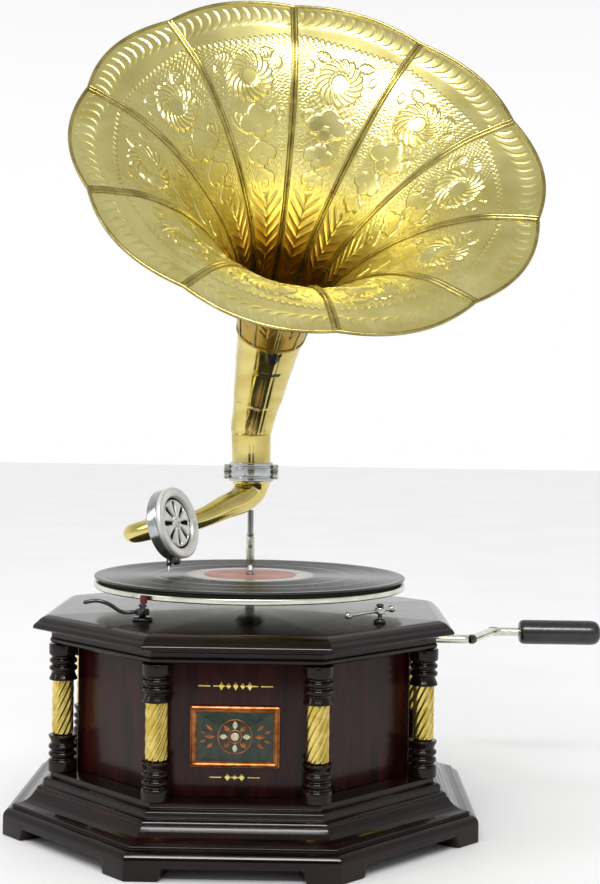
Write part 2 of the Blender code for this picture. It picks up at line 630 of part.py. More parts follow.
def crank():
    pivot = Vector((130.0, CRANK_Y, CRANK_Z))
    rod("crank", CRANK_PATH, CRANK_RADIUS, "steel", pivot, bend=10.0, count=12)
    grip = frame_of((GRIP_X[0], *CRANK_PATH[-1][1:]), (1, 0, 0), (0, 1, 0))
    length = GRIP_X[1] - GRIP_X[0]
    bore = CRANK_RADIUS + 0.4
    turned("crank_grip", [(bore, 0.0), (GRIP_RADIUS - 1.5, 0.0), (GRIP_RADIUS, 1.5), (GRIP_RADIUS, length - 7),
                          (GRIP_RADIUS - 2, length - 2.5), (5.0, length), (0.5, length)],
           "black_enamel", grip, count=20)
    drill = turned("grip_bore", [(bore, length - 4.0), (bore, -3.0)], "steel", grip, count=14)
    modify(bpy.data.objects["crank_grip"], "DIFFERENCE", drill)
    pinion = frame_of((BARREL_AXIS.x + CROWN_RADIUS - 4.0, CRANK_Y, CRANK_Z), (1, 0, 0), (0, 0, -1))
    pitch = 2 * math.pi / CRANK_TEETH
    corners = ((-0.2, 8.2), (-0.07, 11.0), (0.07, 11.0), (0.2, 8.2))
    outline = [(r * math.cos((i + 0.5 + a) * pitch), r * math.sin((i + 0.5 + a) * pitch))
               for i in range(CRANK_TEETH) for a, r in corners]
    wheel = loft("winding_pinion", [[(x, y, z) for x, y in outline] for z in (0.0, 8.0)], "steel", pinion,
                 smooth=False)
    modify(wheel, "DIFFERENCE", turned("pinion_bore", [(CRANK_RADIUS + GAP, 10), (CRANK_RADIUS + GAP, -2)],
                                       "steel", pinion, count=16))


# ---------------------------------------------------------------- motor


def motor_frame():
    axis = at(FRAME_AXIS.x, FRAME_AXIS.y)
    low, high = BEDPLATE_Z
    bedplate = turned("motor_bedplate", [(95.0, low), (95.0, high)], "cast_iron", axis, count=32)
    hole = turned("bedplate_hole", [(5.0, high + 3), (5.0, low - 3)], "steel", at(SPINDLE.x, 0), count=16)
    modify(bedplate, "DIFFERENCE", hole)
    low, high = LOWER_PLATE_Z
    plate = turned("motor_lower_frame", [(84.0, low), (84.0, high)], "cast_iron", axis, count=32)
    for i in range(4):
        angle = math.radians(60 + 90 * i)
        pillar = turned(f"pillar_{i}", [(4.0, high - 1), (4.0, ARBOR_HIGH_Z)], "steel",
                        at(FRAME_AXIS.x + 76 * math.cos(angle), FRAME_AXIS.y + 76 * math.sin(angle)), count=8)
        modify(plate, "UNION", pillar)


def spring_barrel():
    axis = at(BARREL_AXIS.x, BARREL_AXIS.y)
    turned("spring_barrel", [(5.4, 74.0), (37.0, 74.0), (37.0, 104.0), (35.5, 104.0), (35.5, 76.0), (5.4, 76.0)],
           "steel", axis, count=32, hollow=True)
    gear = spur_gear("barrel_gear", BARREL_TEETH, FIRST_MODULE, 104.0 + GAP, 108.5,
                     angle_to(BARREL_AXIS, IDLER_AXIS), "brass", axis)
    modify(gear, "DIFFERENCE", turned("gear_bore", [(5.4, 112), (5.4, 100)], "steel", axis, count=16))
    turns, thick, inner, outer = 4, 1.5, 8.5, 34.5
    steps = 16 * turns
    rings = []
    for i in range(steps + 1):
        angle = 2 * math.pi * turns * i / steps
        reach = inner + (outer - inner) * i / steps
        way = Vector((math.cos(angle), math.sin(angle), 0))
        rings.append([way * (reach + r) + Vector((0, 0, z))
                      for r, z in ((0, 77.0), (-thick, 77.0), (-thick, 103.0), (0, 103.0))])
    loft("mainspring", rings, "steel", axis, smooth=False)


def winding_arbor():
    """The arbor that the crank winds through a crown wheel, whose teeth stand up."""
    axis = at(BARREL_AXIS.x, BARREL_AXIS.y)
    shaft = turned("winding_arbor", [(5.0, ARBOR_LOW_Z), (5.0, 122.0), (CROWN_RADIUS + 3, 122.0),
                                     (CROWN_RADIUS + 3, 126.0), (5.0, 126.0), (5.0, ARBOR_HIGH_Z)], "steel", axis,
                   count=36)
    pitch = 2 * math.pi / CROWN_TEETH
    bm = bmesh.new()
    bm.from_mesh(shaft.data)
    low, high, near, far = 125.5, 132.0, CROWN_RADIUS - 3, CROWN_RADIUS + 2.9
    for i in range(CROWN_TEETH):
        turn = Matrix.Rotation(i * pitch, 3, "Z")
        corners = [(near, -1.0, low), (far, -1.0, low), (far, 1.0, low), (near, 1.0, low),
                   (near, -0.4, high), (far, -0.4, high), (far, 0.4, high), (near, 0.4, high)]
        verts = [bm.verts.new(turn @ Vector(c) * MM) for c in corners]
        for face in ((3, 2, 1, 0), (4, 5, 6, 7), (0, 1, 5, 4), (1, 2, 6, 5), (2, 3, 7, 6), (3, 0, 4, 7)):
            bm.faces.new([verts[k] for k in face])
    bm.to_mesh(shaft.data)
    bm.free()
    step = shaft.modifiers.new("Union", "BOOLEAN")
    step.operation = "UNION"
    step.use_self = True
    step.object = turned("arbor_end", [(2.5, ARBOR_HIGH_Z - 20), (2.5, ARBOR_HIGH_Z - 1)], "steel", axis, count=8)
    step.object.hide_render = True
    step.object.display_type = "WIRE"


def idler():
    axis = at(IDLER_AXIS.x, IDLER_AXIS.y)
    shaft = turned("idler_wheel", [(2.5, ARBOR_LOW_Z), (2.5, ARBOR_HIGH_Z)], "steel", axis, count=10)
    pinion = spur_gear("idler_pinion", IDLER_PINION_TEETH, FIRST_MODULE, 103.0, 110.5,
                       angle_to(IDLER_AXIS, BARREL_AXIS) + math.pi / IDLER_PINION_TEETH, "steel", axis)
    wheel = spur_gear("idler_gear", IDLER_TEETH, 1.0, 112.5, 115.5, angle_to(IDLER_AXIS, SPINDLE), "brass", axis)
    modify(shaft, "UNION", pinion, wheel)


def governor():
    """A light arbor with three fly weights on straps and a friction disc."""
    axis = at(GOVERNOR_AXIS.x, GOVERNOR_AXIS.y)
    shaft = turned("governor", [(1.8, ARBOR_LOW_Z), (1.8, 96.0), (13.0, 96.0), (13.0, 98.0), (1.8, 98.0),
                                (1.8, ARBOR_HIGH_Z)], "steel", axis, count=16)
    pinion = spur_gear("governor_pinion", GOVERNOR_TEETH, 1.0, 59.0, 65.0,
                       angle_to(GOVERNOR_AXIS, SPINDLE) + math.pi / GOVERNOR_TEETH, "brass", axis)
    parts = [pinion]
    for i in range(3):
        turn = axis @ Matrix.Rotation(i * 2 * math.pi / 3, 4, "Z")
        strap = [[(x, -2, z), (x, 2, z), (x + 0.8, 2, z), (x + 0.8, -2, z)]
                 for x, z in ((1.0, 72.0), (9.0, 80.0), (9.0, 88.0), (1.2, 96.5))]
        parts.append(loft(f"governor_strap_{i}", strap, "steel", turn, smooth=False))
        ball = [(4.0 * math.sin(a * math.pi / 6), 84 - 4.0 * math.cos(a * math.pi / 6)) for a in range(1, 6)]
        parts.append(turned(f"governor_ball_{i}", ball, "brass", turn @ at(12.5, 0), count=10))
    modify(shaft, "UNION", *parts)


def stand_on_origin():
    """Moves everything so that the origin is the bottom centre of the whole object's box."""
    bpy.context.view_layer.update()
    graph = bpy.context.evaluated_depsgraph_get()
    points = []
    for piece in bpy.context.scene.objects:
        if piece.type == "MESH" and not piece.hide_render:
            solid = piece.evaluated_get(graph)
            points += [solid.matrix_world @ vertex.co for vertex in solid.data.vertices]
    low = [min(p[i] for p in points) for i in range(3)]
    high = [max(p[i] for p in points) for i in range(3)]
    stand = bpy.data.objects.new("phonograph", None)
    bpy.context.scene.collection.objects.link(stand)
    for piece in bpy.context.scene.objects:
        if piece.type == "MESH":
            piece.parent = stand
    stand.location = (-(low[0] + high[0]) / 2, -(low[1] + high[1]) / 2, -low[2])


clear_scene()
IDLER_AXIS = third_centre(SPINDLE, (IDLER_TEETH + SPINDLE_PINION_TEETH) / 2 + MESH_SLACK, BARREL_AXIS,
                          (BARREL_TEETH + IDLER_PINION_TEETH) / 2 * FIRST_MODULE + MESH_SLACK)
GOVERNOR_AXIS = SPINDLE + Vector((math.cos(math.radians(200)), math.sin(math.radians(200)), 0)) * (
    (GOVERNOR_WHEEL_TEETH + GOVERNOR_TEETH) / 2 + MESH_SLACK)
case()
columns()
front_plaque()
turntable()
brake()
regulator()
horn()
collar()
tone_arm()
gooseneck()
sound_box()
crank()
motor_frame()
spring_barrel()
winding_arbor()
idler()
governor()
stand_on_origin()
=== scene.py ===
from math import cos, pi, radians, sin, sqrt, tan
import bpy
import numpy as np
from mathutils import Matrix, Vector


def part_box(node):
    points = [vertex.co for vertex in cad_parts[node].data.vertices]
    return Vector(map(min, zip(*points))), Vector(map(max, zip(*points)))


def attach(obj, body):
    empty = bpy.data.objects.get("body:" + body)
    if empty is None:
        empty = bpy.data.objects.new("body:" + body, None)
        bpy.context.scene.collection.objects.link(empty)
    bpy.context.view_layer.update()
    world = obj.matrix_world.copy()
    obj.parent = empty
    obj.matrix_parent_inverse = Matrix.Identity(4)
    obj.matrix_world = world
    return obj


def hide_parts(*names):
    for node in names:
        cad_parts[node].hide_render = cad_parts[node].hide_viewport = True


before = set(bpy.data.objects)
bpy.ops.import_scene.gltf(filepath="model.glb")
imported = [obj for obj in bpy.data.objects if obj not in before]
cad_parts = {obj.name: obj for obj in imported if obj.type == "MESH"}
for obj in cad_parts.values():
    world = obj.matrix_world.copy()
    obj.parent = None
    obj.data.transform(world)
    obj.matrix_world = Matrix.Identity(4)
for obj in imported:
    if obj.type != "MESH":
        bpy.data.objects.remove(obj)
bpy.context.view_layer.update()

# Lengths are in millimetres, in the case's own frame: its axis is at x 0, y 0, and its front faces -Y.
MM = 0.001
plinth_low, plinth_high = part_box("plinth")
CASE = np.array([(plinth_low.x + plinth_high.x) / 2, (plinth_low.y + plinth_high.y) / 2, 0])
TAU = 2 * pi


def unit(vector):
    vector = np.asarray(vector, float)
    return vector / np.linalg.norm(vector)


def frame_at(origin, along, across=(1, 0, 0)):
    """A frame whose Z runs along, and whose X is as near to across as it can be."""
    z = unit(along)
    across = np.asarray(across, float)
    x = unit(across - across.dot(z) * z)
    return np.asarray(origin, float), np.stack([x, np.cross(z, x), z])


def bearing(azimuth, elevation):
    """The direction at this azimuth from X towards Y and this elevation, in degrees."""
    azimuth, elevation = radians(azimuth), radians(elevation)
    level = cos(elevation)
    return np.array([level * cos(azimuth), level * sin(azimuth), sin(elevation)])


def upright(x, y):
    return frame_at((x, y, 0), (0, 0, 1))


def moved(place, points):
    """Points given in this frame, in the case's own."""
    origin, axes = place
    return origin + np.asarray(points, float) @ axes


# ---- Materials ----

TONE_SPREAD = (0.35, 0.65)
GLOSS_SCALE, COAT_ROUGHNESS = 35, 0.08
BUMP_DEPTH = 0.0004


def feed(tree, node, inputs):
    """Sets each of these inputs of a node, or links it where it is given another node's output."""
    for name, value in inputs.items():
        if isinstance(value, bpy.types.NodeSocket):
            tree.links.new(value, node.inputs[name])
        else:
            node.inputs[name].default_value = value


def add_node(tree, kind, inputs=None, output=0, **settings):
    """A new node's output, once its settings are made and its inputs are fed."""
    node = tree.nodes.new("ShaderNode" + kind)
    for name, value in settings.items():
        setattr(node, name, value)
    feed(tree, node, inputs or {})
    return node.outputs[output]


def smooth_span(tree, value, start, end, low, high):
    """A value that goes smoothly from low to high as another goes from start to end."""
    return add_node(tree, "MapRange", {"Value": value, "From Min": start, "From Max": end, "To Min": low,
        "To Max": high}, interpolation_type="SMOOTHSTEP")


def material(name, dark, light, metallic=0, rough=(0.2, 0.35), grain=60, bump=0.05, bump_size=700, coat=0,
        specular=0.5, rings=None, painted_throat_shade=None):
    """A finish that varies between two tones, with its gloss and its surface varying too.

    rings is the axis and the spacing of fine grooves; painted_throat_shade is its centre, its two reaches and
    its colour: a painted shade that darkens and warms the tone near that centre.
    """
    look = bpy.data.materials.new(name)
    look.use_nodes = True
    tree = look.node_tree
    place = add_node(tree, "TexCoord", output="Object")
    stretched = add_node(tree, "Mapping", {"Vector": place, "Scale": np.broadcast_to(grain, 3)})
    tone = add_node(tree, "TexNoise", {"Vector": stretched, "Scale": 1, "Detail": 5, "Distortion": 0.6})
    ramp = tree.nodes.new("ShaderNodeValToRGB")
    feed(tree, ramp, {"Fac": tone})
    for element, position, tint in zip(ramp.color_ramp.elements, TONE_SPREAD, (dark, light)):
        element.position, element.color = position, (*tint, 1)
    colour = ramp.outputs["Color"]
    # Painted shade: a darker, warmer colour near the centre stands in for the shade and bounced light in a
    # hollow.
    if painted_throat_shade:
        centre, near, far, amber = painted_throat_shade
        away = add_node(tree, "VectorMath", {0: place, 1: centre}, "Value", operation="DISTANCE")
        shade_share = smooth_span(tree, away, near, far, 1, 0)
        colour = add_node(tree, "MixRGB", {"Fac": shade_share, "Color1": colour, "Color2": (*amber, 1)})
    gloss = add_node(tree, "TexNoise", {"Vector": place, "Scale": GLOSS_SCALE, "Detail": 4})
    roughness = add_node(tree, "MapRange", {"Value": gloss, "To Min": rough[0], "To Max": rough[1]})
    height = add_node(tree, "TexNoise", {"Vector": place, "Scale": bump_size, "Detail": 3})
    if rings:
        centre, pitch = rings
        about = add_node(tree, "Mapping", {"Vector": place, "Location": tuple(-c for c in centre)})
        wave = add_node(tree, "TexWave", {"Vector": about, "Scale": TAU / 20 / pitch}, "Fac",
            wave_type="RINGS", rings_direction="Z")
        height = add_node(tree, "Math", {0: wave, 1: height}, operation="ADD")
    normal = add_node(tree, "Bump", {"Height": height, "Strength": bump, "Distance": BUMP_DEPTH})
    feed(tree, tree.nodes["Principled BSDF"], {
        "Base Color": colour, "Roughness": roughness, "Normal": normal, "Metallic": metallic,
        "Coat Weight": coat, "Coat Roughness": COAT_ROUGHNESS, "Specular IOR Level": specular})
    return look


SPINDLE = np.array([1.7, 0, 0])
RECORD_AXIS = tuple((SPINDLE * MM + CASE)[:2]) + (0,)
RECORD_BUMP_PITCH = 0.0016
# Painted shade: the brass turns a deeper amber in the horn's throat, standing in for the shade and warm
# bounced light there: where, from how near to how far in metres, and its colour.
THROAT_PAINTED_SHADE = (tuple(np.array([15, 75, 415]) * MM + CASE), 0.03, 0.135, (0.47, 0.3, 0.05))
LOOKS = {}
# A look's name, the record's slot that it stands for, its two tones, how metallic it is and its roughness.
for name, slot, dark, light, metallic, rough, more in (
    ("brass", "brass", (0.65, 0.56, 0.19), (0.76, 0.69, 0.29), 1, (0.25, 0.35),
     dict(grain=30, bump=0.04, bump_size=500, painted_throat_shade=THROAT_PAINTED_SHADE)),
    ("seam_brass", "brass", (0.3, 0.24, 0.075), (0.5, 0.42, 0.15), 1, (0.22, 0.32), dict(bump=0.04)),
    ("gilt", "brass", (0.56, 0.41, 0.08), (0.8, 0.64, 0.2), 1, (0.18, 0.28), dict(grain=80)),
    ("tube_brass", "brass", (0.62, 0.5, 0.15), (0.76, 0.64, 0.24), 1, (0.1, 0.17),
     dict(grain=(25, 25, 60), bump=0.03)),
    ("gear_brass", "gear_brass", (0.45, 0.3, 0.08), (0.65, 0.46, 0.14), 1, (0.3, 0.45), {}),
    ("chrome", "chrome", (0.42, 0.44, 0.43), (0.6, 0.62, 0.61), 1, (0.14, 0.24), dict(bump=0.03)),
    ("satin", "chrome", (0.66, 0.68, 0.66), (0.84, 0.86, 0.84), 0.55, (0.34, 0.48), dict(bump=0.03)),
    ("nickel", "steel", (0.6, 0.6, 0.5), (0.76, 0.76, 0.64), 1, (0.2, 0.3), dict(bump=0.03)),
    ("steel", "steel", (0.3, 0.3, 0.3), (0.45, 0.45, 0.45), 1, (0.25, 0.38), {}),
    ("wood", "dark_wood", (0.0035, 0.0016, 0.0015), (0.013, 0.0042, 0.0034), 0, (0.14, 0.25),
     dict(grain=(14, 14, 120), bump=0.08, bump_size=300, coat=0.35, specular=0.09)),
    ("panel_wood", "dark_wood", (0.009, 0.0016, 0.0014), (0.034, 0.0055, 0.004), 0, (0.16, 0.28),
     dict(grain=(90, 90, 12), bump=0.08, bump_size=300, coat=0.06, specular=0.22)),
    ("black", "black_enamel", (0.008, 0.008, 0.008), (0.02, 0.02, 0.02), 0, (0.15, 0.3), dict(coat=0.3)),
    ("grip", "grip", (0.006, 0.006, 0.007), (0.02, 0.019, 0.018), 0, (0.22, 0.36),
     dict(bump=0.12, coat=0.2)),
    ("shellac", "shellac", (0.004, 0.004, 0.004), (0.012, 0.012, 0.012), 0, (0.2, 0.3),
     dict(bump=0.35, rings=(RECORD_AXIS, RECORD_BUMP_PITCH), coat=0.1)),
    ("label", "shellac", (0.36, 0.13, 0.11), (0.5, 0.22, 0.19), 0, (0.35, 0.5), dict(grain=90, bump=0.12)),
    ("red_felt", "red_felt", (0.09, 0.006, 0.005), (0.18, 0.01, 0.008), 0, (0.75, 0.95),
     dict(grain=500, bump=0.5, bump_size=1800)),
    ("green_felt", "green_felt", (0.003, 0.008, 0.004), (0.008, 0.02, 0.01), 0, (0.8, 0.95),
     dict(grain=500, bump=0.5, bump_size=1800)),
    ("mica", "mica", (0.03, 0.028, 0.022), (0.09, 0.08, 0.06), 0, (0.12, 0.3), dict(grain=140)),
    ("dead_wax", "shellac", (0.18, 0.175, 0.14), (0.3, 0.29, 0.23), 0, (0.2, 0.3),
     dict(bump=0.2, coat=0.2)),
    ("rubber", "rubber", (0.002, 0.002, 0.002), (0.006, 0.006, 0.006), 0, (0.7, 0.9),
     dict(bump=0.2, specular=0.1)),
    ("copper", "ornament", (0.2, 0.065, 0.02), (0.42, 0.16, 0.055), 1, (0.25, 0.4),
     dict(grain=160, bump=0.15)),
    ("field", "ornament", (0.006, 0.016, 0.01), (0.02, 0.04, 0.022), 0, (0.25, 0.4),
     dict(grain=200, bump=0.1)),
    ("cream", "ornament", (0.5, 0.42, 0.26), (0.72, 0.64, 0.45), 0, (0.35, 0.5), dict(grain=240, bump=0.1)),
    ("iron", "cast_iron", (0.02, 0.02, 0.02), (0.06, 0.06, 0.06), 0.6, (0.4, 0.6), dict(bump=0.3)),
):
    LOOKS[name] = material(name, dark, light, metallic, rough, **more), slot


# ---- Meshes ----

def add_piece(name, shape, look, body, nodes=(), crease=None, place=None):
    """One closed piece, facing outwards, from its points, quads and triangles in this frame or the case's."""
    points, quads, triangles = shape
    points = np.asarray(points, float).reshape(-1, 3)
    if place:
        points = moved(place, points)
    quads = np.asarray(quads, np.int32).reshape(-1, 4)
    triangles = np.asarray(triangles, np.int32).reshape(-1, 3)
    halves = np.concatenate([quads[:, :3], quads[:, [0, 2, 3]], triangles])
    corners = points[halves] - points.mean(0)
    if np.linalg.det(corners).sum() < 0:
        quads, triangles = quads[:, ::-1], triangles[:, ::-1]
    mesh = bpy.data.meshes.new(name)
    mesh.from_pydata((points * MM + CASE).tolist(), [], quads.tolist() + triangles.tolist())
    mesh.shade_smooth()
    mesh.validate()
    if crease:
        mesh.set_sharp_from_angle(angle=radians(crease))
    finish, slot_name = LOOKS[look]
    mesh.materials.append(finish)
    thing = bpy.data.objects.new(name, mesh)
    bpy.context.scene.collection.objects.link(thing)
    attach(thing, body)
    if nodes:
        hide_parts(*nodes)
    return thing


def skinned(rows, ring=False):
    """Points, quads and triangles of closed rows of points, capped at both ends or joined as a ring."""
    rows = np.asarray(rows, float)
    count, width = rows.shape[:2]
    index = np.arange(count * width).reshape(count, width)
    lower, upper = (index, np.roll(index, -1, 0)) if ring else (index[:-1], index[1:])
    quads = np.stack([lower, np.roll(lower, -1, 1), np.roll(upper, -1, 1), upper], -1).reshape(-1, 4)
    points = rows.reshape(-1, 3)
    if ring:
        return points, quads, np.zeros((0, 3), int)
    points = np.concatenate([points, rows[:1].mean(1), rows[-1:].mean(1)])
    first, last = index[0], index[-1]
    low = np.stack([np.roll(first, -1), first, np.full(width, count * width)], -1)
    high = np.stack([last, np.roll(last, -1), np.full(width, count * width + 1)], -1)
    return points, quads, np.concatenate([low, high])


def sheet(front, back):
    """A thin sheet from its two faces, grids of the same size, closed round its edge."""
    count, width = front.shape[:2]
    index = np.arange(count * width).reshape(count, width)
    under = index + count * width
    faces = [np.stack([g[:-1, :-1], g[:-1, 1:], g[1:, 1:], g[1:, :-1]], -1).reshape(-1, 4)
        for g in (index, under)]
    faces[1] = faces[1][:, ::-1]
    for top, low in ((index[0], under[0]), (index[-1, ::-1], under[-1, ::-1]),
            (index[::-1, 0], under[::-1, 0]), (index[:, -1], under[:, -1])):
        faces.append(np.stack([top[1:], top[:-1], low[:-1], low[1:]], -1))
    return np.concatenate([front.reshape(-1, 3), back.reshape(-1, 3)]), np.concatenate(faces), ()


def rounded(points, radius, ring=False, steps=4):
    """The same path with each corner eased off within this distance of it."""
    points = [np.asarray(p, float) for p in points]
    eased = []
    for i, corner in enumerate(points):
        if not ring and i in (0, len(points) - 1):
            eased.append(corner)
            continue
        before, after = points[i - 1] - corner, points[(i + 1) % len(points)] - corner
        reach = [min(radius, 0.45 * np.linalg.norm(d)) / np.linalg.norm(d) for d in (before, after)]
        start, end = corner + before * reach[0], corner + after * reach[1]
        for t in np.linspace(0, 1, steps + 1):
            eased.append((1 - t) ** 2 * start + 2 * t * (1 - t) * corner + t * t * end)
    return np.array(eased)


def through(values, knots, at):
    """A smooth curve through these values at these knots, read at the given places."""
    values, knots, at = np.asarray(values, float), np.asarray(knots, float), np.asarray(at, float)
    slopes = np.gradient(values, knots, axis=0)
    i = np.clip(np.searchsorted(knots, at, side="right") - 1, 0, len(knots) - 2)
    span = knots[i + 1] - knots[i]
    shape = (-1,) + (1,) * (values.ndim - 1)
    t, span = ((at - knots[i]) / span).reshape(shape), span.reshape(shape)
    return ((2 * t ** 3 - 3 * t ** 2 + 1) * values[i] + (t ** 3 - 2 * t ** 2 + t) * span * slopes[i]
        + (3 * t ** 2 - 2 * t ** 3) * values[i + 1] + (t ** 3 - t ** 2) * span * slopes[i + 1])


def arc_lengths(points):
    return np.concatenate([[0], np.cumsum(np.linalg.norm(np.diff(points, axis=0), axis=1))])


def smooth_path(rows, step):
    """(x, y, z, r) rows read from a smooth curve through these ones."""
    rows = np.asarray(rows, float)
    knots = arc_lengths(rows[:, :3])
    return through(rows, knots, np.linspace(0, knots[-1], max(3, int(knots[-1] / step) + 1)))


def step(x, start, end):
    t = np.clip((x - start) / (end - start), 0, 1)
    return t * t * (3 - 2 * t)


def window(x, start, end, fade):
    return step(x, start, start + fade) * (1 - step(x, end - fade, end))


def ridge(distance, half):
    return np.exp(-(distance / half) ** 2)


def triangle_wave(x):
    return 1 - 4 * np.abs(x - np.floor(x + 0.5))


def circle(count, phase=0):
    return phase + np.arange(count) * TAU / count


def ring_at(radius, z, angles):
    """Points round the Z axis. radius and z may differ from angle to angle."""
    return np.stack([radius * np.cos(angles), radius * np.sin(angles), z + 0 * angles], -1)


# The radius that stands for a turned piece's axis, where its outline closes.
ON_AXIS = 0.01


def turned(name, profile, place, look, body, nodes=(), count=48, bore=False, ease=0.5):
    """A turned piece: (radius, height) points along its outline, or round it where it has a bore."""
    profile = list(profile)
    if not bore and profile[0][0] > ON_AXIS:
        profile.insert(0, (ON_AXIS, profile[0][1]))
    if not bore and profile[-1][0] > ON_AXIS:
        profile.append((ON_AXIS, profile[-1][1]))
    rows = [ring_at(r, z, circle(count)) for r, z in rounded(profile, ease, ring=bore)]
    return add_piece(name, skinned(rows, ring=bore), look, body, nodes, place=place)


def swept(name, path, across, look, body, nodes=(), count=32, ends=1, heading=None):
    """A bar along (x, y, z, r) rows, its ends rounded off by this share of their radius.

    heading is the way that its far end points, where the rows don't give it well enough.
    """
    path = np.asarray(path, float)
    centres, radii = path[:, :3], path[:, 3]
    along = np.gradient(centres, axis=0)
    if heading is not None:
        along[-1] = heading
    outline = ring_at(1, 0, circle(count))

    def section(i, radius, shift=0):
        return moved(frame_at(centres[i] + unit(along[i]) * shift, along[i], across), outline * radius)

    def cap(i, way, turns):
        """The sections of a rounded end, each at a turn from 0 at its tip to a quarter at its full width."""
        size, depth = 1 - 0.98 * ends * (1 - np.sin(turns)), way * ends * (1 - np.cos(turns))
        return [section(i, radii[i] * share, radii[i] * shift) for share, shift in zip(size, depth)]

    quarter = np.linspace(0, pi / 2, 5)
    middle = [section(i, radii[i]) for i in range(1, len(path) - 1)]
    shape = skinned(cap(0, 1, quarter) + middle + cap(-1, -1, quarter[::-1]))
    return add_piece(name, shape, look, body, nodes)


def outline_block(name, outline, heights, place, look, body, nodes=(), edge=0.4):
    """A flat block with this (x, y) outline between two heights, its edges eased."""
    outline = np.asarray(outline, float)
    low, high = heights
    following, before = np.roll(outline, -1, 0), np.roll(outline, 1, 0)
    along = following - before
    inward = np.stack([-along[:, 1], along[:, 0]], -1) / np.linalg.norm(along, axis=1)[:, None]
    area = np.sum(outline[:, 0] * following[:, 1] - following[:, 0] * outline[:, 1])
    inward *= np.sign(area)
    rows = []
    for inset, z in ((edge, low), (edge * 0.3, low + edge * 0.3), (0, low + edge), (0, high - edge),
            (edge * 0.3, high - edge * 0.3), (edge, high)):
        ring = outline + inward * inset
        rows.append(np.column_stack([ring, np.full(len(ring), z)]))
    return add_piece(name, skinned(rows), look, body, nodes, crease=35, place=place)


def rounded_rectangle(width, height, radius, steps=5):
    corners = []
    for i, (sx, sy) in enumerate(((1, 1), (-1, 1), (-1, -1), (1, -1))):
        for a in np.linspace(0, pi / 2, steps):
            turn = a + i * pi / 2
            corners.append((sx * (width / 2 - radius) + radius * cos(turn),
                            sy * (height / 2 - radius) + radius * sin(turn)))
    return np.array(corners)


def block(name, size, centre, place, look, body, nodes=(), radius=1, edge=0.5):
    """A box with eased corners, centred at this point of its frame."""
    sx, sy, sz = size
    cx, cy, cz = centre
    outline = rounded_rectangle(sx, sy, radius) + (cx, cy)
    return outline_block(name, outline, (cz - sz / 2, cz + sz / 2), place, look, body, nodes, edge)


# ---- The octagonal case ----

SIDES = 8
HALF_SIDE = tan(pi / SIDES)
EDGE_SOFTNESS = 0.8
PLINTH_PROFILE = ((183.5, 9), (183.5, 14.4), (183, 16.4), (181.6, 18.4), (179.4, 19.7), (177.4, 20.1),
    (176.6, 20.6), (176.9, 21.2), (177.1, 22), (176.2, 22.9), (174.4, 23.2), (173.6, 23.2), (169.6, 23.9),
    (165.8, 25.8), (162.8, 28.6), (161, 31.2), (160.6, 32), (159.7, 32.2), (159.6, 33.4), (158.8, 34.9),
    (157.2, 35.9), (155.6, 36.1), (154.9, 36.6), (154.8, 38.4), (154.7, 38.9), (154.6, 40.2), (153.7, 41.4),
    (152.2, 42), (150.4, 42.2), (149.6, 42.8), (149.5, 46))
PLINTH_INSIDE = ((121, 46), (121, 33), (165.5, 16), (165.5, 9))
BOARD_PROFILE = ((122, 157.8), (162.3, 157.8), (163.7, 158.8), (163.4, 160.4), (162, 162.2), (160.4, 163.2),
    (158.8, 165.2), (156.2, 167), (154.2, 167.6), (152.9, 168.2), (150.5, 168.5))
FOOT_LENGTH, OGEE_LENGTH = 23.2, 3.6
FOOT_REACH, APRON_Z = PLINTH_PROFILE[0]
# Where a face has points along it, from one end to its middle. They are close together round the ogee.
FACE_STEPS = (-1, -0.9, -0.8, -0.7, -0.695, -0.688, -0.68, -0.67, -0.66, -0.65, -0.64, -0.5, -0.35, -0.2, 0)


def octagon_columns():
    """(face, share along it, turn about its corner) for each column of points round an octagon."""
    steps = [*FACE_STEPS, *[-s for s in FACE_STEPS[-2::-1]]]
    columns = []
    for face in range(SIDES):
        columns += [(face, s, 0) for s in steps]
        columns += [(face, 1, t * TAU / SIDES) for t in (0.25, 0.5, 0.75)]
    return columns


def octagon_points(apothem, columns):
    core = apothem - EDGE_SOFTNESS
    points = []
    for face, share, turn in columns:
        middle = -pi / 2 + face * TAU / SIDES
        outward = np.array([cos(middle), sin(middle)])
        sideways = np.array([-sin(middle), cos(middle)])
        softened = EDGE_SOFTNESS * np.array([cos(middle + turn), sin(middle + turn)])
        points.append(core * outward + share * core * HALF_SIDE * sideways + softened)
    return np.array(points)


def foot_height(share, z):
    """The lower edge along one face: a bracket foot at each end, with an ogee up to the apron."""
    along = (1 - abs(share)) * FOOT_REACH * HALF_SIDE
    return z - APRON_Z * (1 - step(along, FOOT_LENGTH, FOOT_LENGTH + OGEE_LENGTH))


def octagonal(name, profile, look, node, ring=True, ease=0.35, footed=False):
    """A moulding carried round the octagon, its lowest edge cut to feet if it is footed."""
    columns = octagon_columns()
    rows = []
    for apothem, z in rounded(profile, ease, ring=ring, steps=3):
        heights = np.full(len(columns), z)
        if footed and z < APRON_Z + 0.6:
            heights = np.array([foot_height(share, z) for _, share, _ in columns])
        rows.append(np.column_stack([octagon_points(apothem, columns), heights]))
    add_piece(name, skinned(rows, ring=ring), look, "case", [node], crease=28)


octagonal("case_plinth", PLINTH_PROFILE + PLINTH_INSIDE, "wood", "plinth", footed=True)
octagonal("case_walls", ((130, 46.2), (130, 146), (122, 146), (122, 46.2)), "panel_wood", "cabinet_shell")
octagonal("case_frieze", ((122, 146.3), (149.2, 146.3), (150.6, 147.6), (151, 149.6), (149.9, 151),
    (149.9, 154), (151, 155.4), (151, 157.5), (122, 157.5)), "wood", "frieze")
octagonal("case_top", BOARD_PROFILE, "wood", "top_board", ring=False, ease=0.8)

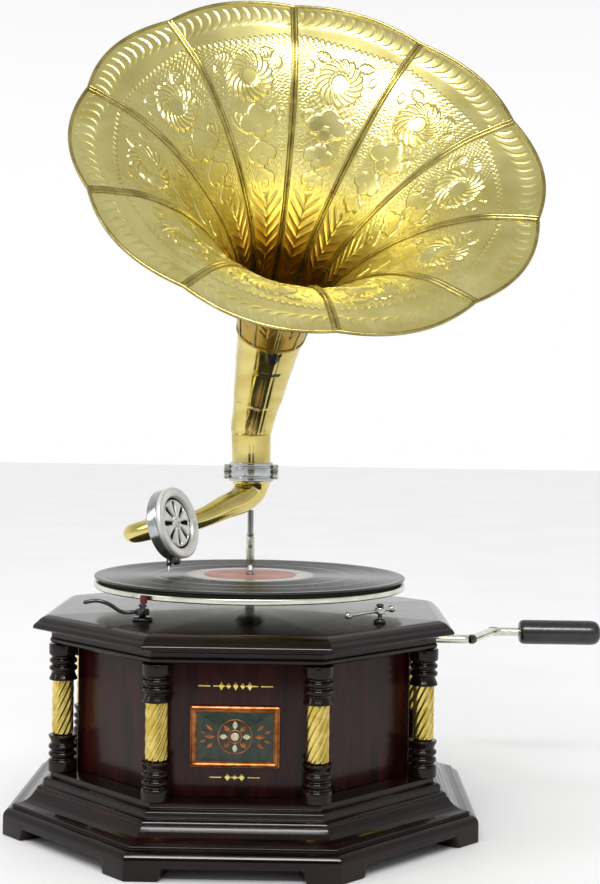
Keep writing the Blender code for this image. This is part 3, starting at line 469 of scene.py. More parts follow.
# Columns: turned ends on a plain core, with a twisted gilt sleeve round the middle of each.
SHELF_Z, COLUMN_TOP_Z = 46, 146
SLEEVE_Z = (74.5, 119.2)
COLUMN_END = ((11.2, 0.3), (11.2, 7.6), (10.6, 9.2), (9.1, 9.8), (9.1, 11.2), (10.5, 12), (10.9, 13.6),
    (10.4, 15), (8.9, 15.8), (8.9, 17), (10.6, 17.8), (11, 19.4), (10.5, 20.8), (9, 21.6), (9.1, 23),
    (9.9, 25), (11, 27.4), (10.9, 28.4))
COLUMN_REACH = 141 / cos(pi / SIDES)
CORE_RADIUS = 5.9
STRANDS, SLEEVE_TWIST, SLEEVE_END = 10, 3, 1.6
SLEEVE_INSIDE, SLEEVE_VALLEY, STRAND_BASE, STRAND_HEIGHT = 6.5, 6.9, 0.15, 1.32
column_low = [(r, SHELF_Z + h) for r, h in COLUMN_END] + [(CORE_RADIUS, SHELF_Z + COLUMN_END[-1][1])]
column_profile = column_low + [(r, SHELF_Z + COLUMN_TOP_Z - z) for r, z in column_low[::-1]]
angles = circle(160)
rows = []
for z in np.linspace(*SLEEVE_Z, 56):
    twist = SLEEVE_TWIST * (z - SLEEVE_Z[0]) / (SLEEVE_Z[1] - SLEEVE_Z[0])
    end = min(1, min(z - SLEEVE_Z[0], SLEEVE_Z[1] - z) / SLEEVE_END)
    lobe = np.abs(np.sin(STRANDS / 2 * (angles - twist)))
    rows.append(ring_at(SLEEVE_VALLEY + (STRAND_BASE + STRAND_HEIGHT * lobe) * sqrt(max(end, 0)), z,
        angles))
sleeve = skinned(rows + [ring_at(SLEEVE_INSIDE, z, angles) for z in SLEEVE_Z[::-1]], ring=True)
for i in range(1, SIDES + 1):
    direction = (2 * i - 1) * TAU / SIDES / 2
    place = upright(COLUMN_REACH * cos(direction), COLUMN_REACH * sin(direction))
    turned(f"case_column_{i}", column_profile, place, "wood", "case", [f"column_{i}"], ease=0.7)
    add_piece(f"gilt_sleeve_{i}", sleeve, "gilt", "case", [f"column_sleeve_{i}"], place=place)


# ---- The horn ----

HORN_CENTRE = np.array([49.1, -71.4, 528])
PETALS, PETAL_SWELL = 10, 0.029
SEAM_ANGLE = radians(124.4)
SHEET = 0.9
BELL = ((180, 0), (170, 2.6), (158, 6.7), (142, 12.6), (124, 23.5), (104, 39.5), (84, 61.3), (64, 89.3),
    (48, 118), (38, 145))
NECK = np.array(((-4.7, 138, 275, 17.9), (-4.8, 137.9, 295, 18), (-4.8, 136, 315, 18.8),
    (-2.2, 131.2, 329, 20.2), (0.8, 124.5, 343, 22), (6.8, 108.5, 372, 26), (13, 88.5, 399, 29.6)))
THROAT = (17.6, 69, 419.5, 33)
horn_axis = bearing(-77.5, 37.3)
horn_level = unit(np.cross((0, 0, 1), horn_axis))
horn_up = np.cross(horn_axis, horn_level)
neck_slope = unit(NECK[-1, :3] - NECK[-2, :3])


def bell_ring(radius, depth, angles):
    share = max(0, 1 - depth / 90) * PETAL_SWELL
    reach = (radius * (1 + share * np.abs(np.sin(PETALS / 2 * (angles - SEAM_ANGLE)))))[:, None]
    return (HORN_CENTRE - horn_axis * depth + reach * np.cos(angles)[:, None] * horn_level
        + reach * np.sin(angles)[:, None] * horn_up)


def round_ring(centre, along, radius, angles):
    return moved(frame_at(centre, along, horn_level), ring_at(radius, 0, angles))


def horn_controls(angles):
    rings = [bell_ring(r, d, angles) for r, d in BELL]
    rings.append(round_ring(THROAT[:3], horn_axis + neck_slope, THROAT[3], angles))
    rings.append(round_ring(NECK[-1, :3] + 0.3 * neck_slope, neck_slope, NECK[-1, 3] - SHEET, angles))
    return np.array(rings)


spaced = horn_controls(circle(40))
HORN_KNOTS = np.concatenate([[0], np.cumsum(np.linalg.norm(np.diff(spaced, axis=0), axis=2).mean(1))])
HORN_LENGTH = HORN_KNOTS[-1]


def horn_surface(angles, lengths):
    """The inside face of the horn, at these angles round it and these distances from its rim along it."""
    return through(horn_controls(angles), HORN_KNOTS, lengths)


def facing_in(points):
    """Unit normals of a grid of the horn's inside face, towards its axis."""
    normal = np.cross(np.gradient(points, axis=1), np.gradient(points, axis=0))
    normal /= np.linalg.norm(normal, axis=2, keepdims=True)
    if np.mean(np.sum(normal * (HORN_CENTRE + 120 * horn_axis - points), axis=2)) < 0:
        normal = -normal
    return normal


def leaf(across, along, centre, length, width, turn, veins=0):
    """A pointed leaf's relief, highest along its rim and its midrib."""
    x, y = across - centre[0], along - centre[1]
    u = (x * cos(turn) + y * sin(turn)) / (length / 2)
    v = (-x * sin(turn) + y * cos(turn)) / (width / 2)
    inside = np.clip(1 - u ** 2, 0, None) - np.abs(v)
    plump = step(inside, 0, 0.25) * (0.55 + 0.45 * np.clip(1 - np.abs(v), 0, 1))
    rib = ridge(v * width / 2, 0.5) * (inside > 0) * 0.35
    vein = 0.16 * np.sin(u * veins * pi + np.abs(v) * 4) * (inside > 0.08) if veins else 0
    return plump - rib + vein


def curl(across, along, centre, radius, turns, start, hand):
    """Distance from a scroll that winds in towards its centre."""
    x, y = (across - centre[0]) * hand, along - centre[1]
    r, angle = np.hypot(x, y), np.arctan2(y, x)
    nearest = np.full_like(r, 99)
    for k in range(turns + 2):
        phase = (angle - start + TAU * k)
        share = phase / (TAU * turns)
        reach = radius * (1 - 0.85 * share)
        nearest = np.where((share >= 0) & (share <= 1), np.minimum(nearest, np.abs(r - reach)), nearest)
    return nearest


def relief(a, s, half):
    """The height of a petal's embossing, a mm clockwise of its middle and s mm in from its rim."""
    edge = step(half - np.abs(a), 2.6, 6)
    # Crescents along the rim, each one lapping the next.
    bow = 5.6 * (1 - ((s - 12) / 10) ** 2) - 3.4 * step(s, 17, 22.5)
    lap = (a - bow) / 8.9
    lap = lap - np.floor(lap)
    height = 0.5 * (1 - lap) * step(lap, 0, 0.16) + 0.36 * ridge((lap - 0.2) * 8.9, 0.85)
    height *= window(s, 3.4, 22.5, 3)
    # A zigzag line where the plain band ends.
    border = 29 + 7 * (1 - (a / half) ** 2)
    zigzag = 1.9 * triangle_wave(a / 5.4)
    height += 0.75 * ridge(s - border - zigzag, 0.7)
    # Inside it the ground is waves near the rosette, scales by the seams, and pebbles further in.
    inner = step(s, border + 1.5, border + 4)
    waves = np.sin(TAU * (s - border + 1.3 * np.sin(TAU * a / 5.4)) / 3.4) * (1 - step(s, 78, 84))
    scale_row = np.floor((s - 4) / 5)
    scale_x = (half - np.abs(a)) / 5 + 0.5 * (scale_row % 2)
    scale_x = (scale_x - np.floor(scale_x) - 0.5) * 5
    scale_r = np.hypot(scale_x, s - 4 - 5 * scale_row)
    scales = np.cos(TAU * scale_r / 2.5)
    by_seam = step(np.abs(a), half - 13.5, half - 12) * window(s, 62, 132, 4)
    pebbles = np.sin(TAU * (a + 0.9 * np.sin(s * 0.95)) / 2.9)
    pebbles *= np.sin(TAU * (s + 0.8 * np.sin(a * 1.15)) / 3)
    pebbles *= 0.95 * step(s, 78, 84) * (1 - step(s, 160, 164))
    ground = inner * (0.24 * (waves + pebbles) * (1 - by_seam) + 0.22 * scales * by_seam)
    figures, clear = np.zeros_like(s), np.zeros_like(s)

    def show(figure, room):
        nonlocal figures, clear
        figures = np.maximum(figures, figure)
        clear = np.maximum(clear, room)

    # The rosette: a plain disc with swirled flutes round it.
    x, y = a, s - 66
    r, turn = np.hypot(x, y), np.arctan2(y, x)
    flute = np.abs(np.sin(8.5 * (turn + 0.055 * (r - 8)) + 0.4))
    reach = 19.2 + 1.8 * flute
    rosette = (0.1 + 1.5 * flute ** 0.55) * step(r, 8, 9.6) * (1 - step(r, reach - 1.3, reach))
    show(rosette + 0.7 * ridge(r - 7.6, 0.7), 1 - step(r, 20.2, 21.2))
    for side in (-1, 1):
        for x, y, long, wide, lean, high in ((18.5, 47.5, 17, 10, -0.35, 1.15),
                (27.5, 56, 12, 7, -1.1, 0.9)):
            show(high * leaf(a, s, (side * x, y), long, wide, side * lean, 5),
                step(leaf(a, s, (side * x, y), long + 2.6, wide + 2.6, side * lean), 0, 0.2))
        scroll = ridge(curl(a, s, (side * 17.5, 97), 6.4, 1, 1.2, side), 0.8)
        show(0.8 * scroll, scroll)
    # Three smooth flowers, each of overlapping discs, smaller towards the throat.
    for middle, lobe, apart in ((104, 8, 9), (130, 6.4, 6.4), (150, 4.8, 4.6)):
        distance = np.minimum(np.hypot(np.abs(a) - apart, s - middle + 0.5),
            np.hypot(a, s - middle + apart * 0.75))
        distance = np.minimum(distance, np.hypot(a, s - middle - apart * 0.8) + lobe * 0.2) - lobe
        flower = 0.5 * (1 - step(distance, -1, 0.3)) + 0.45 * ridge(distance + 0.6, 0.6)
        show(flower, 1 - step(distance, 0.6, 1.6))
    stem = ridge(a, 0.9) * (window(s, 86, 95, 1.5) + window(s, 115, 122, 1.5) + window(s, 138, 144, 1.5))
    show(0.9 * stem, stem)
    arch = ridge(np.hypot(a, (s - 92) * 1.15) - 23.5, 0.9) * (s > 94)
    show(0.6 * arch, arch)
    height += figures + ground * (1 - clear)
    # Chevrons down the throat.
    chevron = (s + 1.15 * np.abs(a)) / 9.2
    chevron = chevron - np.floor(chevron + 0.5)
    height += 0.75 * ridge(chevron * 9.2, 1.1) * window(s, 160, 262, 5)
    height += 0.5 * ridge(a, 0.8) * window(s, 162, 262, 5)
    return height * edge


petal_lengths = np.concatenate([np.arange(0, 150, 0.78), np.linspace(150, HORN_LENGTH, 96)])
petal_shares = np.linspace(0, 1, 131)
for i in range(PETALS):
    petal_angles = SEAM_ANGLE - TAU * (i + petal_shares) / PETALS
    face = horn_surface(petal_angles, petal_lengths)
    normal = facing_in(face)
    gaps = np.linalg.norm(np.diff(face, axis=1), axis=2)
    across = np.concatenate([np.zeros((len(face), 1)), np.cumsum(gaps, axis=1)], axis=1)
    half = across[:, -1:] / 2
    height = relief(across - half, petal_lengths[:, None] + 0 * across, half)[..., None]
    front = face + normal * height
    add_piece(f"horn_petal_{i + 1}", sheet(front, front - normal * SHEET), "brass", "horn",
        ["horn_bell", "horn_cone"] if i == 0 else ())

# A folded seam between each two petals: a double bead inside, a flat fold outside.
SEAM_ACROSS = np.array([-1, -0.86, -0.7, -0.52, -0.34, -0.16, 0, 0.16, 0.34, 0.52, 0.7, 0.86, 1])
for i in range(PETALS):
    seam = SEAM_ANGLE - TAU * i / PETALS
    lengths = np.linspace(0.8, HORN_LENGTH - 0.5, 220)
    strip = horn_surface(np.array([seam + 0.004, seam, seam - 0.004]), lengths)
    normal = facing_in(strip)[:, 1]
    across = strip[:, 2] - strip[:, 0]
    across /= np.linalg.norm(across, axis=1, keepdims=True)
    rows = []
    for centre, out, side, s in zip(strip[:, 1], normal, across, lengths):
        wide = 3.3 - 1.3 * s / HORN_LENGTH
        bead = 0.35 + 1.25 * np.abs(np.sin(pi * SEAM_ACROSS)) ** 0.8
        fold = -SHEET - 1.1 * np.sqrt(np.clip(1 - SEAM_ACROSS ** 2, 0, 1)) ** 0.6
        upper = centre + out * bead[:, None] + side * wide * SEAM_ACROSS[:, None]
        lower = centre + out * fold[::-1, None] + side * 0.8 * wide * SEAM_ACROSS[::-1, None]
        rows.append(np.concatenate([upper, lower]))
    add_piece(f"horn_seam_{i + 1}", skinned(rows), "seam_brass", "horn", crease=50)

# The wired edge round the mouth.
RIM_WIRE = 1.43
angles = circle(720, SEAM_ANGLE)
edge_rows = bell_ring(179.9, 0.1, angles)
outward = edge_rows - HORN_CENTRE
outward -= (outward @ horn_axis)[:, None] * horn_axis
outward /= np.linalg.norm(outward, axis=1, keepdims=True)
turns = circle(14)
rows = edge_rows[:, None] + RIM_WIRE * (np.cos(turns)[None, :, None] * outward[:, None]
    + np.sin(turns)[None, :, None] * horn_axis)
add_piece("horn_rim", skinned(rows, ring=True), "seam_brass", "horn")

# The lip where the horn meets its neck.
CUFF_END, CUFF_LENGTH = HORN_LENGTH - 0.2, 2.6
cuff = horn_surface(circle(240, SEAM_ANGLE), np.linspace(CUFF_END - CUFF_LENGTH, CUFF_END, 14))
lean = facing_in(cuff)
rows = np.concatenate([cuff - lean * (SHEET + 1), (cuff - lean * (SHEET - 0.1))[::-1]])
add_piece("horn_cuff", skinned(rows, ring=True), "brass", "horn", crease=50)

# The neck: three sleeves slid over each other, with a bead and a lapped seam down the front.
neck_knots = arc_lengths(NECK[:, :3])
NECK_LENGTH = neck_knots[-1]


def neck_length_at(z):
    return float(np.interp(z, NECK[:, 2], neck_knots))


LAPS = (neck_length_at(312), neck_length_at(343))
BEAD_AT = neck_length_at(377)
FRONT = -pi / 2
NECK_RADIUS = 24


def neck_surface(lengths, angles, proud=0, seam=True):
    ahead, behind = (through(NECK, neck_knots, lengths + d)[:, :3] for d in (0.5, -0.5))
    out = []
    for (x, y, z, r), tangent, s in zip(through(NECK, neck_knots, lengths), ahead - behind, lengths):
        extra = proud
        for lap in LAPS:
            extra += 0.55 * (1 - step(s, lap, lap + 26)) * step(s, lap - 0.3, lap)
            extra -= 0.5 * ridge(s - lap + 0.6, 0.5)
        extra += 0.35 * ridge(s - BEAD_AT, 1.2)
        off = r * ((angles - FRONT + pi) % TAU - pi)
        lapped = 0.5 * step(off, -3.2, -2.6) * (1 - step(off, 2.4, 3)) if seam else 0
        out.append(round_ring((x, y, z), tangent, r - 0.3 + extra + lapped, angles))
    return np.array(out)


lap_rows = [lap - back for lap in LAPS for back in (0.5, 0.25, 0)]
neck_rows = np.unique(np.concatenate([np.linspace(0, NECK_LENGTH, 110), lap_rows]))
outer = neck_surface(neck_rows, circle(144))
inner = neck_surface(neck_rows, circle(144), seam=False)
middle = inner.mean(1, keepdims=True)
reach = np.linalg.norm(inner - middle, axis=2, keepdims=True)
inner = middle + (inner - middle) * (reach - 1.6) / reach
add_piece("horn_neck_tube", skinned(np.concatenate([outer, inner[::-1]]), ring=True), "tube_brass", "horn",
    ["horn_neck"], crease=60)


def neck_patch(name, low, high, low_half, high_half, proud):
    """A thin plate on the front of the neck, from one distance along it to another."""
    grid = []
    for s in np.linspace(low, high, 8):
        wide = (low_half + (high_half - low_half) * (s - low) / (high - low)) / NECK_RADIUS
        angles = FRONT + np.linspace(-wide, wide, 12)
        grid.append([neck_surface(np.array([s]), angles, lift)[0] for lift in (proud, -0.4)])
    grid = np.array(grid)
    add_piece(name, sheet(grid[:, 0], grid[:, 1]), "black", "horn", crease=40)


# Painted shade: a black plate on the front of the neck stands in for the shade in its slot.
neck_patch("neck_slot", BEAD_AT - 1.6, BEAD_AT + 1.6, 8.4, 9.2, 0.5)
neck_patch("neck_tab", NECK_LENGTH - 13, NECK_LENGTH - 2, 2.4, 5.6, 0.45)

# ---- The collar and the tone arm ----

BOTH_SIDES = ((-1, "left"), (1, "right"))
PIVOT = (-4.6, 138)
PIVOT_PLACE = upright(*PIVOT)
COLLAR_MIDDLE_Z, EAR_REACH, EAR_FRONT = 275, 22.2, 5.1
turned("collar_ring", ((18.3, 266.2), (19.7, 266.2), (20.2, 267), (20.2, 269.6), (19.5, 270), (19.5, 271.2),
    (20.4, 271.8), (20.4, 278.4), (19.5, 279), (19.5, 280.2), (20.2, 280.6), (20.2, 283.2), (19.7, 283.9),
    (18.3, 283.9)), PIVOT_PLACE, "chrome", "tone_arm", ["horn_collar"], count=96, bore=True, ease=0.35)
for side, name in BOTH_SIDES:
    block(f"collar_ear_{name}", (5.6, 9.8, 13.4), (EAR_REACH * side, 0, COLLAR_MIDDLE_Z), PIVOT_PLACE,
        "chrome", "tone_arm", radius=1.4, edge=0.8)
    screw = frame_at((PIVOT[0] + EAR_REACH * side, PIVOT[1] - EAR_FRONT, COLLAR_MIDDLE_Z), (0, -1, 0))
    turned(f"collar_screw_head_{name}", ((2.6, 0), (2.6, 1.1), (2.1, 1.8), (0.01, 2)), screw, "steel",
        "tone_arm", [f"collar_screw_{name}"], ease=0.3)
    # Painted shade: a black bar across each screw head stands in for the shade in its slot.
    block(f"collar_screw_slot_{name}", (4, 0.6, 0.3), (0, 0, 1.92), screw, "black", "tone_arm", radius=0.25,
        edge=0.1)

ARM = ((-4.6, 138, 274.6, 17.9), (-4.6, 138, 265.5, 17.6), (-5.2, 137.4, 259, 15),
    (-12.5, 129.5, 250.5, 13), (-28, 112, 243, 10.9), (-49, 90, 233.5, 8.8), (-70, 69.5, 229.8, 8.1),
    (-89, 51, 228.3, 7.8))
BEND_CORNER = np.array([-115, 31, 220.5])
BOX_CENTRE = np.array([-70, 15.6, 233.3])
box_out = bearing(-25.3, 14.3)
box_rake = radians(25)
box_down = unit(np.array([0, 0, -1]) + box_out[2] * box_out)
box_level = unit(np.cross(box_out, box_down))
box_level = box_level if box_level[1] < 0 else -box_level
BOX = frame_at(BOX_CENTRE, box_out, cos(box_rake) * box_down + sin(box_rake) * box_level)

ARM_GAP, GOOSE_BEHIND = 0.35, 7
arm_end = np.array(ARM[-1][:3])
arm_direction = unit(BEND_CORNER - arm_end)
arm_across = np.cross(arm_direction, (0, 0, 1))
swept("tone_arm_tube", smooth_path(ARM, 1.6), arm_across, "tube_brass", "tone_arm", ["tone_arm"], count=56,
    ends=0.06, heading=arm_direction)
band = arm_end - arm_direction * 7
FERRULE_LENGTH = 6.4
ferrule = [(*(band + arm_direction * FERRULE_LENGTH * t), 8.25 + 0.45 * sin(pi * t))
    for t in np.linspace(0, 1, 9)]
swept("tone_arm_ferrule", ferrule, arm_across, "tube_brass", "tone_arm", count=56, ends=0.08)
goose_end = moved(BOX, (0, 0, -GOOSE_BEHIND))
share = np.linspace(0, 1, 40)[:, None]
goose_start = arm_end + arm_direction * ARM_GAP
goose = (1 - share) ** 2 * goose_start + 2 * share * (1 - share) * BEND_CORNER + share ** 2 * goose_end
swept("gooseneck_tube", np.hstack([goose, 7.8 + share]), (0, 0, 1), "tube_brass", "gooseneck",
    ["gooseneck"], count=56, ends=0.06)
turned("gooseneck_lip", ((6.5, -11.6), (9.6, -11.6), (10, -10.9), (10, -8.6), (9.6, -7.4), (6.5, -7.4)),
    BOX, "tube_brass", "gooseneck", bore=True)
turned("soundbox_gasket_ring", ((6, -6.4), (10.2, -6.4), (10.4, -4.7), (10.2, -2.9), (6, -2.9)), BOX,
    "rubber", "gooseneck", ["soundbox_gasket"], bore=True, ease=0.6)

turned("support_post", ((2.75, 182.2), (2.75, 216), (3.4, 216.4), (3.6, 217), (3.4, 217.7), (2.75, 218),
    (2.75, 239.7)), PIVOT_PLACE, "steel", "tone_arm", ["support_rod"], ease=0.3)
# (radius, height, depth of the knurling)
SOCKET_ROWS = [(12, 168.9, 0), (12, 170.4, 0), (11.2, 171.3, 0), (6.2, 171.9, 0), (5, 173.2, 0),
    (3.9, 176, 0), (3.75, 190, 0.12), (3.85, 191, 0.12), (3.85, 204, 0.12), (3.7, 205, 0), (3.9, 206, 0),
    (3.9, 214.2, 0), (3.5, 214.9, 0), (3.05, 214.9, 0), (3.05, 168.9, 0)]
POST_RIDGES, SCREW_RIDGES = 24, 16


def knurled(rows, ridges):
    """Rings of these radii and heights, each with a knurling of this depth."""
    angles = circle(96)
    return [ring_at(r + depth * np.cos(ridges * angles), z, angles) for r, z, depth in rows]


add_piece("post_socket", skinned(knurled(SOCKET_ROWS, POST_RIDGES), ring=True), "nickel", "case",
    ["rod_socket"], 35, PIVOT_PLACE)

# ---- The sound box ----

turned("soundbox_drum", ((8.6, -2.6), (9.2, -1.6), (9.6, -0.4), (26.5, 0), (29, 0.3), (29.8, 1.2),
    (29.8, 9.8), (28.2, 10), (27, 10), (26.9, 7.6), (0.01, 7.4)), BOX, "chrome", "soundbox",
    ["soundbox_body"], count=128, ease=0.6)
turned("soundbox_diaphragm", ((26.5, 7.9), (26.5, 8.3)), BOX, "mica", "soundbox", ["diaphragm"], count=96,
    ease=0.1)
SLOTS, SLOT_NEAR, SLOT_FAR = 8, 6.6, 16.6
SLOT_HALF, SLOT_WIDENING, SLOT_DEPTH = 1.3, 0.85, 1.9
cover_angles = circle(240)
cover = [(10.1, 26.5), (10.2, 29.5), (10.7, 30), (12.8, 30), (13.7, 29.6), (14.2, 28.7), (14.35, 27.4),
    (14.3, 26), (14, 24.4), (13.5, 23), (12.9, 22.2), (11.6, 21.8), (10.4, 21.6)]
rows = [ring_at(r, z, cover_angles) for z, r in cover]
for r in np.concatenate([np.linspace(20.8, 4.2, 44), [3.6, 3.3, 2.6, 1.4, 0.4]]):
    fine = (cover_angles * SLOTS / TAU) % 1 - 0.5
    side = r * np.sin(fine * TAU / SLOTS)
    ahead = r * np.cos(fine * TAU / SLOTS)
    gap = np.hypot(side, np.clip(np.maximum(SLOT_NEAR - ahead, ahead - SLOT_FAR), 0, None))
    wide = SLOT_HALF + SLOT_WIDENING * step(ahead, SLOT_NEAR, SLOT_FAR)
    sunk = SLOT_DEPTH * (1 - step(gap, wide - 0.25, wide + 0.25))
    swell = -0.5 * np.cos(fine * TAU) * window(r, 5, 20, 3) - 1.6 * step(r, 19.2, 20.6)
    boss = 1.2 * (1 - step(r, 3, 4.2))
    rows.append(ring_at(r, 11.5 + 0.5 * (1 - r / 21) + swell + boss - sunk, cover_angles))
rows += [ring_at(r, 8.9, cover_angles) for r in (0.4, 26.5)]
add_piece("soundbox_cover", skinned(rows, ring=True), "satin", "soundbox", ["soundbox_front"], 50, BOX)
# Painted shade: black blocks in the rubber look fill the cover's slots, standing in for the shade seen
# through the openings.
for k in range(SLOTS):
    turn = (k + 0.5) * TAU / SLOTS
    ray, side = np.array([(cos(turn), sin(turn)), (-sin(turn), cos(turn))])
    outline = [middle * ray + bulge * (cos(a) * ray + sin(a) * side)
        for middle, bulge in ((SLOT_FAR, 1.9), (SLOT_NEAR, -1.15))
        for a in np.linspace(-pi / 2, pi / 2, 9)]
    outline_block(f"soundbox_slot_shade_{k + 1}", outline, (9.3, 10.45), BOX, "rubber", "soundbox", edge=0.15)

# Painted shadow: a black ring in the rubber look, in the recess round the cover, stands in for the shadow
# that falls there.
turned("cover_shadow_ring", ((19.9, 9.5), (21.6, 9.5), (21.6, 10.9), (19.9, 10.9)), BOX, "rubber", "soundbox",
    bore=True, ease=0.2, count=96)
turned("cover_hub", ((1.5, 12.6), (1.5, 13.6), (1.1, 14.1), (0.01, 14.2)), BOX, "steel", "soundbox",
    ease=0.3)


def along_box(rows):
    """(x, y, z, r) rows given in the sound box's frame, in the case's."""
    rows = np.array(rows)
    rows[:, :3] = moved(BOX, rows[:, :3])
    return rows


STYLUS = ((25, 0, 5, 1.5), (29, 0, 5, 1.7), (31, 0, 5, 2.2), (36.4, 0, 5, 2.1), (37.5, 0, 5, 1.6))
NEEDLE = ((35.5, 0, 5, 0.75), (39, 0, 5, 0.75), (41.5, 0, 5, 0.45), (42.6, 0, 5, 0.1))
swept("stylus_lever", along_box(smooth_path(STYLUS, 0.6)), BOX[1][2], "black", "stylus", ["stylus_bar"], 28,
    0.4)
swept("needle_point", along_box(NEEDLE), BOX[1][2], "steel", "stylus", ["needle"], 16, 0.3)
screw_place = frame_at(moved(BOX, (34.3, 0, 0)), BOX[1][2], BOX[1][0])
screw = knurled(((0.02, 7.5, 0), (1.2, 7.5, 0), (1.2, 9.4, 0), (2.6, 9.6, 0), (3, 10, 0.15),
    (3.1, 10.6, 0.15), (3.1, 13.9, 0.15), (2.9, 14.6, 0.1), (2.2, 15.2, 0), (0.02, 15.4, 0)), SCREW_RIDGES)
add_piece("needle_thumbscrew", skinned(screw), "black", "needle_screw", ["needle_screw"], 40, screw_place)

# ---- The turntable ----

RECORD_TOP = 195.5
spindle_place = upright(*SPINDLE[:2])
turned("turntable_disc", ((0.01, 184.6), (98, 184.9), (119, 185.4), (122.6, 185.8), (125.2, 185.9),
    (126.4, 186.1), (127, 186.8), (127, 189.9), (126.6, 190.5), (125.4, 190.8)), spindle_place, "nickel",
    "turntable", ["platter"], count=192)
turned("turntable_hub", ((9.4, 178.3), (10, 179.2), (10, 183), (13, 184.5)), spindle_place, "iron",
    "turntable")
turned("turntable_felt", ((4, 191), (123.4, 191), (124, 191.6), (124, 192.5), (123.4, 193), (4, 193)),
    spindle_place, "green_felt", "turntable", ["felt_mat"], count=192, bore=True)
GROOVE_PITCH = 0.62
groove_r = np.arange(121.5, 55, -GROOVE_PITCH)
groove_z = RECORD_TOP - 0.18 + 0.1 * (-1.0) ** np.arange(len(groove_r))
for gap in (101, 79):
    groove_z[np.abs(groove_r - gap) < 1] = RECORD_TOP - 0.1
record = [(3.6, 193.3), (126.2, 193.3), (126.95, 193.9), (126.95, 195), (126.3, 195.45), (124.6, 195.5),
    (122.6, 195.35), *zip(groove_r, groove_z), (54.6, 195.3), (53.4, 195.42), (51.2, 195.42), (50.4, 195.2),
    (40, 195.2), (38.4, 195.35), (3.6, 195.35)]
turned("record_disc", record, spindle_place, "shellac", "turntable", ["record"], count=156, bore=True,
    ease=0.2)
turned("record_dead_wax", ((38, 195.22), (51.6, 195.3), (51.8, 195.42), (51.4, 195.48), (38.2, 195.46)),
    spindle_place, "dead_wax", "turntable", count=128, bore=True, ease=0.05)
turned("record_centre_label", ((3.7, 195.36), (37, 195.36), (37.1, 195.45), (36.9, 195.5), (3.7, 195.5)),
    spindle_place, "label", "turntable", count=96, bore=True, ease=0.05)

# The tip of the spindle, over the end of the shaft that carries the pinions.
turned("spindle_tip", ((3.2, 195.6), (3.2, 199.4), (2.6, 200.6), (1.9, 202.2), (1.5, 203), (0.01, 203.3)),
    spindle_place, "chrome", "turntable")

# ---- Brake and speed lever ----

brake_place = upright(-76, -88)
turned("brake_stand", ((8, 168.8), (8, 170.2), (7.2, 171.2), (3.4, 171.4), (2.1, 172.2), (1.9, 173),
    (1.9, 178.6), (3.1, 179), (3.2, 180.2), (2.6, 181)), brake_place, "black", "case", ["brake_bracket"],
    ease=0.4)
turned("brake_hub", ((2.3, 172.6), (4.8, 172.6), (5.2, 173.2), (5.2, 177), (4.8, 177.6), (2.3, 177.6)),
    brake_place, "black", "brake", ["brake_lever"], bore=True, ease=0.4)


def bar(name, corners, radius, bend, look, body, across=(0, 0, 1), nodes=(), count=24):
    """A round bar bent at these corners."""
    path = rounded(corners, bend, steps=7)
    swept(name, np.column_stack([path, np.full(len(path), radius)]), across, look, body, nodes, count)


bar("brake_finger", ((-79, -88.4, 175.1), (-91, -91.5, 174.6), (-101, -94, 181.8), (-110, -95.5, 184.6),
    (-120, -96.5, 182.5)), 1.5, 4, "black", "brake", (0, 1, 0))
bar("brake_pad_arm", ((-75.6, -90.4, 175), (-73, -106.6, 175.5), (-73, -106.6, 183.6)), 1.4, 3, "black",
    "brake", (1, 0, 0))
turned("brake_felt", ((2.3, 183.9), (2.7, 184.5), (2.7, 189.4), (2.3, 190)), upright(-73, -106.6),
    "red_felt", "brake", ["brake_pad"])

lever_place = upright(105, -82)
turned("speed_post", ((5, 168.8), (5, 170.6), (4.4, 171.4), (2.2, 171.8), (1.7, 172.6), (1.7, 180.8),
    (2.9, 181.3), (3, 182.4), (2.3, 183.2)), lever_place, "black", "case", ["regulator_post"], ease=0.4)
turned("speed_hub", ((2.1, 175.6), (3.6, 175.6), (4, 176.2), (4, 179.8), (3.6, 180.4), (2.1, 180.4)),
    lever_place, "chrome", "regulator", ["regulator_lever"], bore=True, ease=0.4)
SPEED_POST = np.array([105, -82, 178])
BALL_RADIUS = 2.8
ball = [(max(ON_AXIS, BALL_RADIUS * sin(t)), -BALL_RADIUS * cos(t))
    for t in np.linspace(0, pi, 15)]
for i, end in enumerate(((80, -113, 178), (114.5, -70.2, 178))):
    start = SPEED_POST + unit(end - SPEED_POST) * 3
    bar(f"speed_rod_{i + 1}", (start, end), 1.2, 1, "chrome", "regulator")
    turned(f"speed_ball_{i + 1}", ball, frame_at(end, (0, 0, 1)), "chrome", "regulator", ease=0.1, count=32)

# ---- The crank ----

CRANK_Y, CRANK_Z = 28, 140.5
GRIP_Y, GRIP_Z = 128, 132.8
bar("crank_bar", ((67, CRANK_Y, CRANK_Z), (188, CRANK_Y, CRANK_Z), (217, GRIP_Y, GRIP_Z),
    (311, GRIP_Y, GRIP_Z)), 3.6, 10, "nickel", "crank", nodes=["crank"], count=32)
